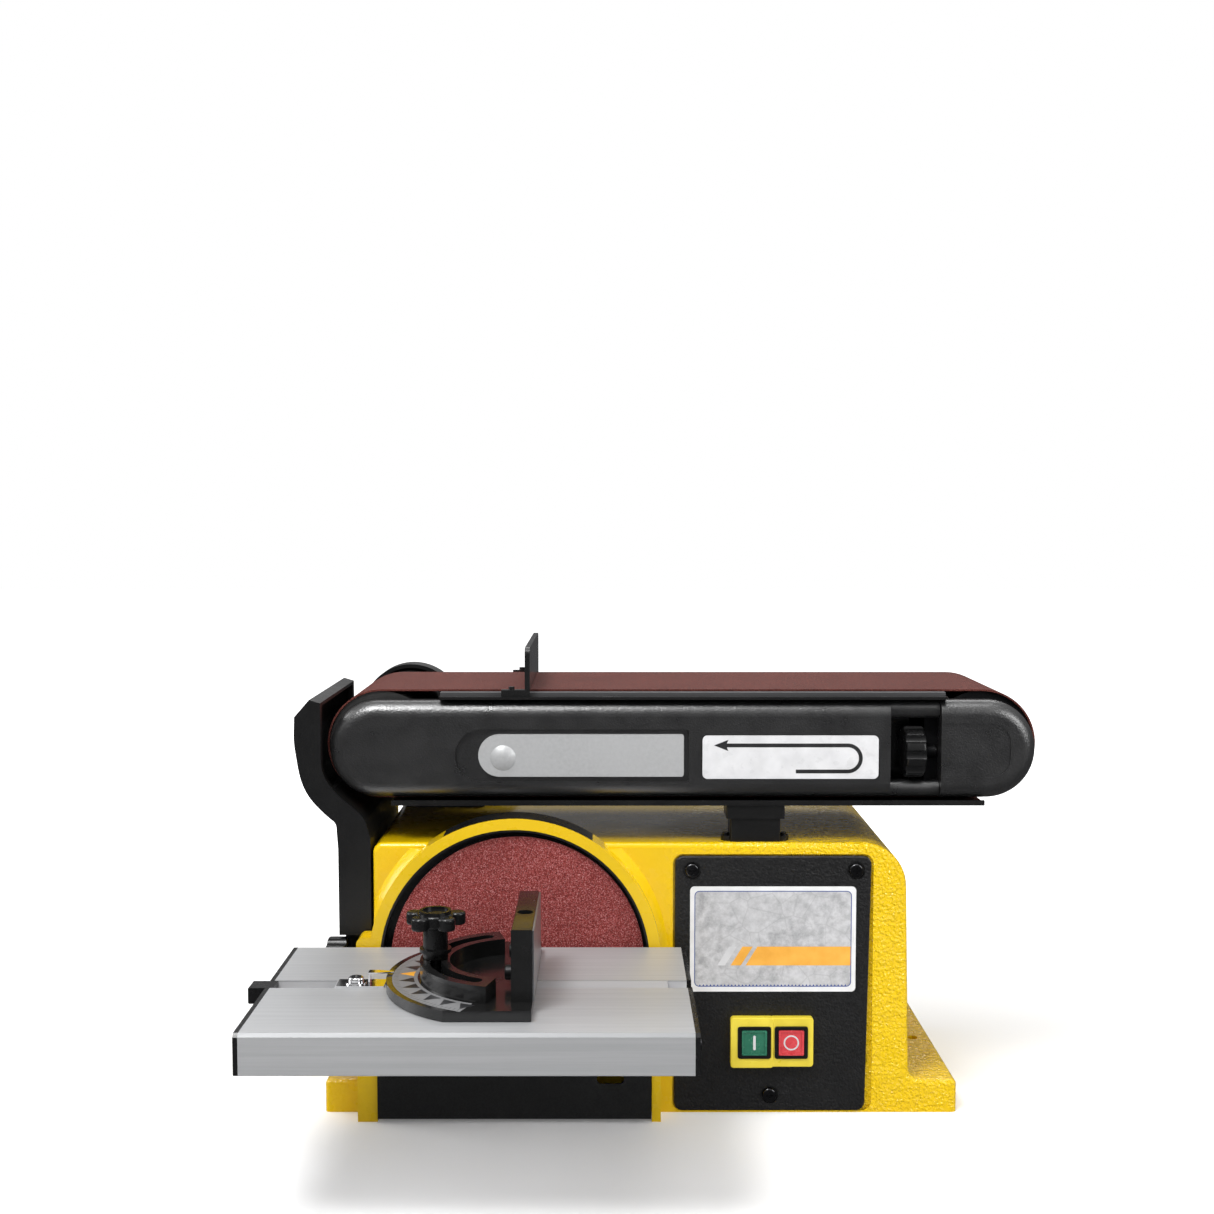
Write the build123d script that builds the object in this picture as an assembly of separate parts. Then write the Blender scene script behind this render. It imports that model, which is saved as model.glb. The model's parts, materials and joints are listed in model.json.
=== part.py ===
from build123d import *
import os
from math import atan2, cos, degrees, hypot, radians, sin

# Bench belt and disc sander. Millimetres, +Z up, -Y towards the user, +X towards the arm's free end.
# The origin is on the bench, midway between the two bench bolts.

# ---- Driving dimensions ----
FIT = 0.04                # radial clearance of a running shaft
GAP = 0.3                 # clearance between pieces that move past each other

BASE_LEFT, BASE_RIGHT = -162.0, 160.0
BASE_FRONT, BASE_REAR = -75.0, 79.0
BASE_TOP = 164.3
WALL = 4.5
FOOT_LEFT, FOOT_RIGHT = -192.0, 189.0
FOOT_TOP = 19.7
BENCH_BOLT_X = 177.0
BENCH_HOLE_R = 3.5
SHAFT_HOLE_R = 16.0       # hole for the motor shaft in the front and rear walls

DISC_X, DISC_Z = -75.0, 95.6
DISC_R = 75.0
DISC_FACE = -86.0
PLATE_THICK = 8.0
RING_X = -76.4                         # the ring stands a little off the disc centre
RING_IN, RING_OUT = 79.8, 86.4
RING_FRONT = -90.0
LINER_THICK = 1.2
LEG_LEFT, LEG_RIGHT = -170.0, 10.0
LEG_THICK_LEFT, LEG_THICK_RIGHT = 11.8, 5.4

PANEL_LEFT, PANEL_RIGHT, PANEL_LOW, PANEL_HIGH = 18.7, 136.2, 1.4, 156.5
PANEL_FRONT, PANEL_BACK = -76.0, -73.2
LABEL_BOX = (27.7, 127.0, 74.4, 138.3)
SWITCH_X, SWITCH_Z = 76.8, 44.7
SWITCH_W, SWITCH_H = 49.6, 30.0
BUTTON_W, BUTTON_H = 15.0, 15.2
BUTTON_PITCH = 22.1

TABLE_LEFT, TABLE_RIGHT = -206.0, 24.0
TABLE_FRONT, TABLE_FAR = -242.0, -92.0
TABLE_TOP, TABLE_THICK = 106.2, 21.4
CAP_THICK = 2.5
SLOT_Y, SLOT_W, SLOT_DEPTH = -163.0, 13.0, 9.0
TILT_Y, TILT_Z = -101.0, 74.0          # table tilt axis, along X
LOCK_Y, LOCK_Z = -70.4, 91.0           # table lock stud, along X
EAR_R = 9.0

MITER_X = -70.0                        # miter head pivot, over the slot
HEAD_R, HEAD_HALF, HEAD_THICK = 71.0, 62.0, 5.5
STUD_RADIUS = 44.8                     # miter lock stud, from the head pivot
BAR_LEFT, BAR_LENGTH = -169.0, 180.0
FENCE_LEFT, FENCE_RIGHT = -71.0, -60.0
FENCE_NEAR, FENCE_FAR, FENCE_TOP = -211.5, -131.0, 149.5

PIVOT_X, ARM_Z = -158.0, 222.1         # arm pivot and drive drum axis, along Y
IDLER_X = 204.0
DRUM_R = 31.5
DECK_TOP = 251.8                       # top of the arm frame, under the platen
TRAY_TOP = 188.1
LEVER_X = 105.0                        # belt tension lever, along Y
BELT_NEAR, BELT_FAR, BELT_THICK = -60.0, 40.0, 1.0
ARM_NEAR = -74.0                       # outer face of the arm's front cover
COVER_R, COVER_Z = 29.2, 220.0
CAP_LEFT, CAP_X = 177.3, 205.3         # end cap: its left edge, and the centre of its round end
INLAY_BOX = (-98.8, 23.8, 204.0, 229.5)
SLEEVE_R = 20.0
SHAFT_R = 8.0
PEDESTAL_NEAR, PEDESTAL_FAR = 54.0, 76.0
PEDESTAL_BOLTS, PEDESTAL_BOLT_Y = (-146.0, -114.0), 46.0
GLAND_X, GLAND_Z = 120.0, 30.0
KNOB_X0, KNOB_X1 = 156.5, 168.4        # tracking knob
KNOB_Y, KNOB_Z, KNOB_R = -61.0, 217.5, 15.6
RECESS_BACK = KNOB_Y + KNOB_R + 0.9

MOTOR_R = 52.0
MOTOR_SHAFT_R = 7.0
PULLEY_NEAR, PULLEY_FAR = 82.0, 94.0
MOTOR_PULLEY_R, DRUM_PULLEY_R = 16.0, 24.0
COVER_BACK = 101.0


# ---- Small building helpers ----
def block(x0, x1, y0, y1, z0, z1):
    """Rectangular block between two corners."""
    centre = ((x0 + x1) / 2, (y0 + y1) / 2, (z0 + z1) / 2)
    return Pos(*centre) * Box(x1 - x0, y1 - y0, z1 - z0)


def rod_x(y, z, radius, x0, x1):
    """Round bar along X."""
    return Pos((x0 + x1) / 2, y, z) * Rot(0, 90, 0) * Cylinder(radius, x1 - x0)


def rod_y(x, z, radius, y0, y1):
    """Round bar along Y."""
    return Pos(x, (y0 + y1) / 2, z) * Rot(90, 0, 0) * Cylinder(radius, y1 - y0)


def rod_z(x, y, radius, z0, z1):
    """Round bar along Z."""
    return Pos(x, y, (z0 + z1) / 2) * Cylinder(radius, z1 - z0)


def slab_y(sketch, y0, y1):
    """Sketch drawn in X and Z, made solid from y0 to y1."""
    return extrude(Plane.XZ.offset(-y1) * sketch, amount=y1 - y0)


def slab_x(sketch, x0, x1):
    """Sketch drawn in Y and Z, made solid from x0 to x1."""
    return extrude(Plane.YZ.offset(x0) * sketch, amount=x1 - x0)


def slab_z(sketch, z0, z1):
    """Sketch drawn in X and Y, made solid from z0 to z1."""
    return extrude(Plane.XY.offset(z0) * sketch, amount=z1 - z0)


def rectangle(a0, a1, b0, b1):
    """Rectangle sketch between two corners."""
    return Pos((a0 + a1) / 2, (b0 + b1) / 2) * Rectangle(a1 - a0, b1 - b0)


def soft_rectangle(a0, a1, b0, b1, radius):
    """Rectangle sketch with rounded corners."""
    return Pos((a0 + a1) / 2, (b0 + b1) / 2) * RectangleRounded(a1 - a0, b1 - b0, radius)


def disc(a, b, radius):
    """Circle sketch about a point."""
    return Pos(a, b) * Circle(radius)


def ring_y(x, z, inner, outer, y0, y1):
    """Round ring with its axis along Y."""
    return rod_y(x, z, outer, y0, y1) - rod_y(x, z, inner, y0 - 1, y1 + 1)


def sector(a, b, radius, start, end):
    """Pie-shaped sketch between two angles in degrees."""
    reach = 2 * radius
    angles = [start + (end - start) * i / 4 for i in range(5)]
    rim = [(a + reach * cos(radians(t)), b + reach * sin(radians(t))) for t in angles]
    wedge = make_face(Polyline((a, b), *rim, close=True))
    return disc(a, b, radius) & wedge


def edges_at(solid, axis, place):
    """Edges that lie wholly in one plane across an axis."""
    near = solid.edges().filter_by_position(axis, place - 0.01, place + 0.01)
    return near


def screw_y(x, z, radius, head_front, length):
    """Pan-head screw along Y, its head at the front, with a cross recess."""
    head = rod_y(x, z, radius, head_front, head_front + 0.55 * radius)
    head = fillet(edges_at(head, Axis.Y, head_front), 0.3 * radius)
    cross = block(x - 0.5 * radius, x + 0.5 * radius, head_front - 1, head_front + 0.3 * radius,
                  z - 0.12 * radius, z + 0.12 * radius)
    cross += block(x - 0.12 * radius, x + 0.12 * radius, head_front - 1, head_front + 0.3 * radius,
                   z - 0.5 * radius, z + 0.5 * radius)
    return head - cross + rod_y(x, z, 0.45 * radius, head_front + 0.5 * radius, head_front + length)


# ---- Base ----
def base_outline():
    """Front outline of the housing, with a bench foot at each side."""
    taper = 3.0
    places = {
        "left foot": ((FOOT_LEFT, FOOT_TOP), 3.0), "right foot": ((FOOT_RIGHT, FOOT_TOP), 3.0),
        "left wall": ((BASE_LEFT, FOOT_TOP), 4.0), "right wall": ((BASE_RIGHT, FOOT_TOP), 7.0),
        "left shoulder": ((BASE_LEFT, BASE_TOP), 6.0),
        "right shoulder": ((BASE_RIGHT - taper, BASE_TOP), 27.0),
    }
    order = ("right foot", "right wall", "right shoulder", "left shoulder", "left wall", "left foot")
    outline = make_face(Polyline((FOOT_LEFT, 0), (FOOT_RIGHT, 0), *[places[k][0] for k in order], close=True))
    for (x, z), radius in places.values():
        outline = fillet(outline.vertices().sort_by_distance((x, z, 0))[0], radius)
    return outline


def base_casting():
    """Hollow cast housing with the disc ring, its two legs, the table ears and the bench feet."""
    shell = slab_y(base_outline(), BASE_FRONT, BASE_REAR)
    shell = fillet(edges_at(shell, Axis.Y, BASE_FRONT).filter_by(lambda e: e.center().Z > 1), 3)
    room = rectangle(BASE_LEFT + WALL, BASE_RIGHT - 3 - WALL, -1, BASE_TOP - WALL)
    for x, radius in ((BASE_LEFT + WALL, 2), (BASE_RIGHT - 3 - WALL, 22)):
        room = fillet(room.vertices().sort_by_distance((x, BASE_TOP - WALL, 0))[0], radius)
    shell -= slab_y(room, BASE_FRONT + WALL, BASE_REAR - WALL)
    for x in (-BENCH_BOLT_X, BENCH_BOLT_X):
        shell -= rod_z(x, 0, BENCH_HOLE_R, -1, FOOT_TOP + 1)
    shell += disc_ring()
    shell -= rod_x(LOCK_Y, LOCK_Z, 3 + FIT, LEG_LEFT - 1, BASE_LEFT + 10)
    shell -= rod_y(GLAND_X, GLAND_Z, 6, BASE_REAR - 10, BASE_REAR + 1)
    for x in PEDESTAL_BOLTS:
        shell -= rod_z(x, PEDESTAL_BOLT_Y, 3, BASE_TOP - 6, BASE_TOP + 1)
    shell -= slab_y(soft_rectangle(PANEL_LEFT - 1.2, PANEL_RIGHT + 1.2, PANEL_LOW - 0.4,
                                   PANEL_HIGH + 1.2, 6), BASE_FRONT - 1, PANEL_BACK)
    shell -= block(SWITCH_X - 22, SWITCH_X + 22, BASE_FRONT - 2, BASE_FRONT + WALL + 1,
                   SWITCH_Z - 14, SWITCH_Z + 14)
    shell -= rod_y(DISC_X, DISC_Z, SHAFT_HOLE_R, BASE_FRONT - 2, BASE_FRONT + WALL + 1)
    shell -= rod_y(DISC_X, DISC_Z, SHAFT_HOLE_R, BASE_REAR - WALL - 1, BASE_REAR + 1)
    for i in range(6):
        shell -= slab_y(Pos(40 + 14 * i, 95) * Rot(0, 0, 90) * SlotOverall(60, 5), BASE_REAR - WALL - 1,
                        BASE_REAR + 1)
    for x, z in panel_screw_places():
        shell -= rod_y(x, z, 1.95, BASE_FRONT - 6, BASE_FRONT + 8)
    for x, z in cover_screw_places():
        shell -= rod_y(x, z, 1.7, BASE_REAR - 6, BASE_REAR + 6)
    return shell


def disc_ring():
    """Arched ring round the disc, with legs to the floor, the lock ear and two pivot ears."""
    outer = disc(RING_X, DISC_Z, RING_OUT) + rectangle(LEG_LEFT, LEG_RIGHT, 0, DISC_Z)
    inner = disc(RING_X, DISC_Z, RING_IN)
    inner += rectangle(LEG_LEFT + LEG_THICK_LEFT, LEG_RIGHT - LEG_THICK_RIGHT, -1, DISC_Z)
    outer += soft_rectangle(LEG_LEFT, LEG_LEFT + 9, DISC_Z - 20, LOCK_Z + 20, 4)
    outer += rectangle(LEG_LEFT + 4, LEG_LEFT + 9, DISC_Z - 20, LOCK_Z + 20)
    ring = slab_y(outer - inner, RING_FRONT, BASE_FRONT + 0.5)
    flare = Pos(RING_X, BASE_FRONT - 2.5, DISC_Z) * Rot(90, 0, 0) * Cone(RING_OUT + 5, RING_OUT, 6)
    flare &= block(LEG_LEFT + 9, 60, RING_FRONT, BASE_REAR, DISC_Z, BASE_TOP - 3)
    ring += flare - rod_y(RING_X, DISC_Z, RING_OUT - 2, RING_FRONT, BASE_FRONT + 1)
    crown = disc(RING_X, DISC_Z, RING_OUT) & rectangle(LEG_LEFT, 60, BASE_TOP - 2, 250)
    ring += slab_y(crown, BASE_FRONT, BASE_FRONT + 5)
    ear = disc(LOCK_Y, LOCK_Z, 22) & (rectangle(RING_FRONT, LOCK_Y - 0.6, 60, LOCK_Z + 16)
                                      + rectangle(LOCK_Y - 1, LOCK_Y + 15, 60, LOCK_Z + 14))
    ring += slab_x(ear + rectangle(RING_FRONT, LOCK_Y + 15, 40, LOCK_Z), LEG_LEFT, BASE_LEFT + 1)
    for x0, x1 in ((LEG_LEFT, LEG_LEFT + LEG_THICK_LEFT), (LEG_RIGHT - LEG_THICK_RIGHT, LEG_RIGHT)):
        eye = disc(TILT_Y, TILT_Z, EAR_R)
        eye += rectangle(TILT_Y, RING_FRONT + 1, TILT_Z - EAR_R, TILT_Z + EAR_R)
        ring += slab_x(eye, x0, x1) - rod_x(TILT_Y, TILT_Z, 3, x0 - 1, x1 + 1)
    return ring


def panel_screw_places():
    """Control panel screw centres: two at the top, one at the bottom."""
    return [(28.8, 148.0), (126.9, 148.0), (75.8, 11.1)]


def cover_screw_places():
    """Rear belt cover screw centres on the base."""
    return [(-128.0, 84.0), (-25.0, 84.0)]


def bottom_plate():
    """Sheet that closes the underside, just above the bench."""
    plate = block(BASE_LEFT + WALL + 0.5, BASE_RIGHT - WALL - 3, BASE_FRONT + WALL + 0.5,
                  BASE_REAR - WALL - 0.5, 1.0, 2.5)
    for i in range(5):
        plate -= slab_z(Pos(-75 + 14 * (i - 2), 0) * Rot(0, 0, 90) * SlotOverall(60, 5), 0, 4)
    return plate


def disc_guard():
    """Black cover over the lower half of the disc, closed at the bottom."""
    left, right = LEG_LEFT + LEG_THICK_LEFT + 0.4, LEG_RIGHT - LEG_THICK_RIGHT - 0.4
    front = block(left, right, RING_FRONT - 3, RING_FRONT - 1, 3, 68)
    front += block(left, right, RING_FRONT - 3, BASE_FRONT - 0.2, 3, 5)
    for x in (left, right - 2):
        front += block(x, x + 2, RING_FRONT - 3, BASE_FRONT - 0.2, 3, 68)
    window = slab_y(soft_rectangle(-28, -12, 24, 30, 2.5), RING_FRONT - 4, RING_FRONT)
    return front - window


def disc_liner():
    """Black sheet lining behind the disc and round its rim, inside the yellow ring."""
    outer = RING_IN - 0.1
    liner = ring_y(RING_X, DISC_Z, outer - LINER_THICK, outer, RING_FRONT + 0.6, BASE_FRONT - 0.2)
    liner += rod_y(RING_X, DISC_Z, outer, BASE_FRONT - 0.2 - LINER_THICK, BASE_FRONT - 0.2)
    liner -= rod_y(DISC_X, DISC_Z, SHAFT_HOLE_R, BASE_FRONT - 3, BASE_FRONT + 1)
    return liner & block(-170, 20, RING_FRONT, BASE_FRONT, 69, 250)


def control_panel():
    """Moulded plate that carries the switch and the nameplate."""
    outline = make_face(Polyline((PANEL_LEFT - 0.4, PANEL_LOW), (PANEL_RIGHT - 3, PANEL_LOW),
                                 (PANEL_RIGHT, PANEL_HIGH), (PANEL_LEFT, PANEL_HIGH), close=True))
    plate = slab_y(fillet(outline.vertices(), 5), PANEL_FRONT, PANEL_BACK)
    plate = fillet(edges_at(plate, Axis.Y, PANEL_FRONT), 1.0)
    x0, x1, z0, z1 = LABEL_BOX
    plate -= slab_y(soft_rectangle(x0 - 0.5, x1 + 0.5, z0 - 0.5, z1 + 0.5, 3), PANEL_FRONT - 1,
                    PANEL_FRONT + 0.6)
    plate -= block(SWITCH_X - 21.5, SWITCH_X + 21.5, PANEL_FRONT - 1, PANEL_BACK + 1,
                   SWITCH_Z - 12, SWITCH_Z + 12)
    for x, z in panel_screw_places():
        plate -= rod_y(x, z, 1.95, PANEL_FRONT - 1, PANEL_BACK + 1)
        plate -= rod_y(x, z, 5.4, PANEL_FRONT - 1, PANEL_FRONT + 1.0)
    return plate


def panel_screws():
    """Three cross-head screws of the control panel."""
    return Compound([screw_y(x, z, 4.2, PANEL_FRONT - 1.4, 8) for x, z in panel_screw_places()])


def nameplate():
    """Printed plate with rounded corners, let into the panel."""
    x0, x1, z0, z1 = LABEL_BOX
    plate = slab_y(soft_rectangle(x0, x1, z0, z1, 2.6), PANEL_FRONT - 0.1, PANEL_FRONT + 0.6)
    return plate


def button_places():
    """Start and stop button centres along X."""
    return [SWITCH_X - 10.6, SWITCH_X - 10.6 + BUTTON_PITCH]


def switch_half(x0, x1, low, front):
    """One half of the switch surround, with a softened front edge."""
    half = slab_y(soft_rectangle(x0, x1, low, SWITCH_Z + SWITCH_H / 2, 2), front, PANEL_FRONT)
    return fillet(edges_at(half, Axis.Y, front), 0.6)


def switch_frame():
    """Yellow surround of the two buttons, in two joined halves."""
    left, right = SWITCH_X - SWITCH_W / 2, SWITCH_X + SWITCH_W / 2
    low = SWITCH_Z - SWITCH_H / 2
    surround = switch_half(left, SWITCH_X + 1, low - 0.6, PANEL_FRONT - 4.6)
    surround += switch_half(SWITCH_X - 1, right, low, PANEL_FRONT - 4.2)
    for x in button_places():
        surround -= slab_y(soft_rectangle(x - 10, x + 10, SWITCH_Z - 9.8, SWITCH_Z + 9.8, 1.5),
                           PANEL_FRONT - 6, PANEL_FRONT + 1)
    return surround


def switch_bezel(x):
    """Square black collar round one button."""
    bezel = slab_y(soft_rectangle(x - 9.9, x + 9.9, SWITCH_Z - 9.7, SWITCH_Z + 9.7, 1.4),
                   PANEL_FRONT - 5.2, PANEL_BACK + 0.1)
    inner = soft_rectangle(x - BUTTON_W / 2 - GAP, x + BUTTON_W / 2 + GAP,
                           SWITCH_Z - BUTTON_H / 2 - GAP, SWITCH_Z + BUTTON_H / 2 + GAP, 1)
    return bezel - slab_y(inner, PANEL_FRONT - 6, PANEL_BACK + 1)


def button(x):
    """Push button with a shallow dished face and a guide stem."""
    front = PANEL_FRONT - 5.4
    cap = slab_y(soft_rectangle(x - BUTTON_W / 2, x + BUTTON_W / 2, SWITCH_Z - BUTTON_H / 2,
                                SWITCH_Z + BUTTON_H / 2, 0.8), front, front + 4.5)
    cap -= slab_y(soft_rectangle(x - BUTTON_W / 2 + 1.2, x + BUTTON_W / 2 - 1.2,
                                 SWITCH_Z - BUTTON_H / 2 + 1.2, SWITCH_Z + BUTTON_H / 2 - 1.2, 0.6),
                  front - 1, front + 0.5)
    return cap + rod_y(x, SWITCH_Z, 2.5, front + 4, PANEL_BACK + 6)


def switch_body():
    """Magnetic switch block behind the panel, with a well for each button stem."""
    body = block(SWITCH_X - 21, SWITCH_X + 21, PANEL_BACK + 0.2, PANEL_BACK + 32, SWITCH_Z - 13,
                 SWITCH_Z + 13)
    for x in button_places():
        body -= rod_y(x, SWITCH_Z, 4.5, PANEL_BACK, PANEL_BACK + 14)
    return body


def button_springs():
    """Two return springs, one behind each button, as plain coils of wire."""
    coils = []
    for x in button_places():
        helix = Helix(pitch=1.6, height=4.8, radius=3.4)
        wire = Plane(origin=helix @ 0, z_dir=helix % 0) * Circle(0.3)
        coil = sweep(wire, path=helix, is_frenet=True)
        coils.append(Pos(x, PANEL_BACK + 8.2, SWITCH_Z) * Rot(-90, 0, 0) * coil)
    return Compound(coils)


# ---- Motor, disc and drive ----
def disc_plate():
    """Cast aluminium disc with a hub that slips over the motor shaft."""
    back = DISC_FACE + 1 + PLATE_THICK
    plate = rod_y(DISC_X, DISC_Z, DISC_R - 0.5, DISC_FACE + 1, back)
    plate -= ring_y(DISC_X, DISC_Z, 22, 68, back - 4, back + 1)
    plate += ring_y(DISC_X, DISC_Z, MOTOR_SHAFT_R, 13, back - 4, back + 6)
    return plate - rod_y(DISC_X, DISC_Z, MOTOR_SHAFT_R, DISC_FACE + 3, back + 7)


def disc_paper():
    """Self-adhesive abrasive disc."""
    return rod_y(DISC_X, DISC_Z, DISC_R, DISC_FACE, DISC_FACE + 1)


def motor_shaft():
    """Through shaft: disc at the front, belt pulley at the rear."""
    return rod_y(DISC_X, DISC_Z, MOTOR_SHAFT_R, DISC_FACE + 3, PULLEY_FAR + 2)


def motor_rotor():
    """Squirrel-cage rotor."""
    return ring_y(DISC_X, DISC_Z, MOTOR_SHAFT_R, 29.5, -35, 35)


def cooling_fan():
    """Plastic fan with eight straight blades."""
    fan = ring_y(DISC_X, DISC_Z, MOTOR_SHAFT_R, 11, 37, 49)
    fan += ring_y(DISC_X, DISC_Z, 10, 29, 37, 38.5)
    for i in range(8):
        blade = block(DISC_X + 10, DISC_X + 29, 37, 49, DISC_Z - 0.8, DISC_Z + 0.8)
        fan += Pos(DISC_X, 0, DISC_Z) * Rot(0, 45 * i, 0) * Pos(-DISC_X, 0, -DISC_Z) * blade
    return fan


def motor_stator():
    """Laminated stator ring."""
    return ring_y(DISC_X, DISC_Z, 30.2, MOTOR_R - 3, -35, 35)


def motor_windings():
    """Copper winding heads at both ends of the stator."""
    heads = [ring_y(DISC_X, DISC_Z, 33, 46, y, y + 14) for y in (-49.5, 35.5)]
    return Compound([fillet(h.edges(), 3) for h in heads])


def motor_shell():
    """Drawn tube round the stator."""
    return ring_y(DISC_X, DISC_Z, MOTOR_R - 3, MOTOR_R, -54, 56)


def motor_bell(inner, outer):
    """Cast end bell with a bearing seat and four bolt lugs."""
    low, high = min(inner, outer), max(inner, outer)
    bell = rod_y(DISC_X, DISC_Z, MOTOR_R + 1, low, high)
    for x, z in tie_bolt_places():
        bell += rod_y(x, z, 6, low, high)
    for x, z in tie_bolt_places():
        bell -= rod_y(x, z, 2.1, low - 1, high + 1)
    return bell - rod_y(DISC_X, DISC_Z, 15, low - 1, high + 1)


def tie_bolt_places():
    """Four long bolts that pull the motor's end bells together."""
    reach = (MOTOR_R + 4) / 2 ** 0.5
    return [(DISC_X + i * reach, DISC_Z + j * reach) for i in (-1, 1) for j in (-1, 1)]


def motor_bolts():
    """Tie bolts of the motor."""
    return Compound([rod_y(x, z, 2, -70, 70) for x, z in tie_bolt_places()])


def ball_bearing(x, z, shaft, outer, y0, y1):
    """Sealed ball bearing as one ring."""
    ring = ring_y(x, z, shaft, outer, y0, y1)
    groove = ring_y(x, z, shaft + 0.35 * (outer - shaft), shaft + 0.65 * (outer - shaft), y0 - 1, y0 + 0.6)
    return ring - groove


def motor_bearings():
    """Front and rear motor bearings."""
    return Compound([ball_bearing(DISC_X, DISC_Z, MOTOR_SHAFT_R + FIT, 15, y, y + 11) for y in (-67, 58)])


def capacitor():
    """Run capacitor, lying beside the motor."""
    can = rod_x(0, 34, 18, 20, 90)
    return fillet(can.edges(), 2)


def pulley(x, z, radius, bore):
    """Flanged belt pulley with shallow ribs in its rim."""
    wheel = ring_y(x, z, bore, radius, PULLEY_NEAR, PULLEY_FAR)
    for y in (PULLEY_NEAR, PULLEY_FAR - 1):
        wheel += ring_y(x, z, bore, radius + 2, y, y + 1)
    return wheel


def drive_belt():
    """Rubber belt from the motor pulley up to the drum pulley, as one closed loop."""
    low, high = (DISC_X, DISC_Z), (PIVOT_X, ARM_Z)
    outer = belt_outline(low, high, MOTOR_PULLEY_R + 3, DRUM_PULLEY_R + 3)
    inner = belt_outline(low, high, MOTOR_PULLEY_R + GAP, DRUM_PULLEY_R + GAP)
    return slab_y(outer - inner, PULLEY_NEAR + 1.5, PULLEY_FAR - 1.5)


def belt_outline(low, high, low_radius, high_radius):
    """Two circles and the straight runs that touch both."""
    both = [disc(*low, low_radius), disc(*high, high_radius)]
    return make_hull(both[0].edges() + both[1].edges())


def belt_cover():
    """Moulded cover over the drive belt, behind the base and the pedestal."""
    low, high = (DISC_X, DISC_Z), (PIVOT_X, ARM_Z)
    outer = belt_outline(low, high, 34, 34)
    cover = slab_y(outer, BASE_REAR + 0.2, COVER_BACK)
    cover = fillet(edges_at(cover, Axis.Y, COVER_BACK), 4)
    cover -= slab_y(belt_outline(low, high, 31.5, 31.5), BASE_REAR - 1, COVER_BACK - 2.5)
    for x, z in cover_screw_places():
        cover += rod_y(x, z, 6, BASE_REAR + 0.2, BASE_REAR + 5)
        cover += block(min(x, DISC_X), max(x, DISC_X), BASE_REAR + 0.2, BASE_REAR + 3, z - 6, z + 6)
    for x, z in cover_screw_places():
        cover -= rod_y(x, z, 2, BASE_REAR, BASE_REAR + 6)
    return cover - rod_y(DISC_X, DISC_Z, 31.5, BASE_REAR - 1, COVER_BACK - 2.5)


def cover_screws():
    """Screws of the belt cover, heads at the back."""
    screws = []
    for x, z in cover_screw_places():
        head = rod_y(x, z, 4, BASE_REAR + 5, BASE_REAR + 7.5)
        screws.append(head + rod_y(x, z, 1.7, BASE_REAR - 4, BASE_REAR + 5))
    return Compound(screws)


def cord_gland():
    """Gland for the mains lead, low on the rear wall."""
    gland = rod_y(GLAND_X, GLAND_Z, 9, BASE_REAR, BASE_REAR + 6)
    gland += rod_y(GLAND_X, GLAND_Z, 6, BASE_REAR - 8, BASE_REAR + 14)
    return gland - rod_y(GLAND_X, GLAND_Z, 3.6, BASE_REAR - 9, BASE_REAR + 15)


# ---- Pedestal, drum and dust hood ----
def pedestal():
    """Cast bracket on the base top that carries the arm pivot and the drum bearings."""
    body = disc(PIVOT_X, ARM_Z, 30) + make_face(
        Polyline((PIVOT_X - 30, ARM_Z), (PIVOT_X + 30, ARM_Z), (-104, BASE_TOP + 8),
                 (-104, BASE_TOP), (BASE_LEFT + 5, BASE_TOP), (-178, ARM_Z - 22), close=True))
    post = slab_y(body, PEDESTAL_NEAR, PEDESTAL_FAR)
    post += block(BASE_LEFT + 6, -104, 38, BASE_REAR - 1, BASE_TOP, BASE_TOP + 8)
    post += rod_y(PIVOT_X, ARM_Z, SLEEVE_R, 43.3, PEDESTAL_NEAR + 1)
    for x in PEDESTAL_BOLTS:
        post -= rod_z(x, PEDESTAL_BOLT_Y, 3.2, BASE_TOP - 1, BASE_TOP + 9)
    return post - rod_y(PIVOT_X, ARM_Z, 15, 43, PEDESTAL_FAR + 1)


def pedestal_bolts():
    """Two bolts that hold the pedestal down."""
    bolts = []
    for x in PEDESTAL_BOLTS:
        head = slab_z(Pos(x, PEDESTAL_BOLT_Y) * RegularPolygon(5.5, 6), BASE_TOP + 8, BASE_TOP + 12)
        bolts.append(head + rod_z(x, PEDESTAL_BOLT_Y, 2.9, BASE_TOP - 5, BASE_TOP + 8))
    return Compound(bolts)


def drum_bearings():
    """Two bearings in the pedestal sleeve."""
    return Compound([ball_bearing(PIVOT_X, ARM_Z, SHAFT_R + FIT, 15, y, y + 10) for y in (44.5, 65)])


def drum_shaft():
    """Shaft of the drive drum, through the pedestal to the rear pulley."""
    return rod_y(PIVOT_X, ARM_Z, SHAFT_R, BELT_NEAR + 1, PULLEY_FAR + 1)


def drive_drum():
    """Hollow rubber-faced drum that drives the sanding belt."""
    drum = ring_y(PIVOT_X, ARM_Z, SHAFT_R, DRUM_R, BELT_NEAR + 1, BELT_FAR - 1)
    return drum - ring_y(PIVOT_X, ARM_Z, 13, 25, BELT_NEAR, BELT_FAR - 12)


def hood_outline():
    """Outer side of the S-shaped dust hood, top to bottom."""
    return [(-199.4, 250), (-208.4, 239.7), (-208.7, 226), (-207.2, 214), (-204.8, 202),
            (-198.8, 190), (-192.9, 183.5), (-186.9, 178), (-183.8, 172), (-183, 160), (-182.5, 62)]


def hood_inside():
    """Inner side of the dust hood, bottom to top."""
    return [(-163.5, 62), (-163.5, 166), (-166.5, 177), (-176, 187), (-185.7, 196),
            (-189.9, 202), (-192.6, 214), (-192.9, 248)]


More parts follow.
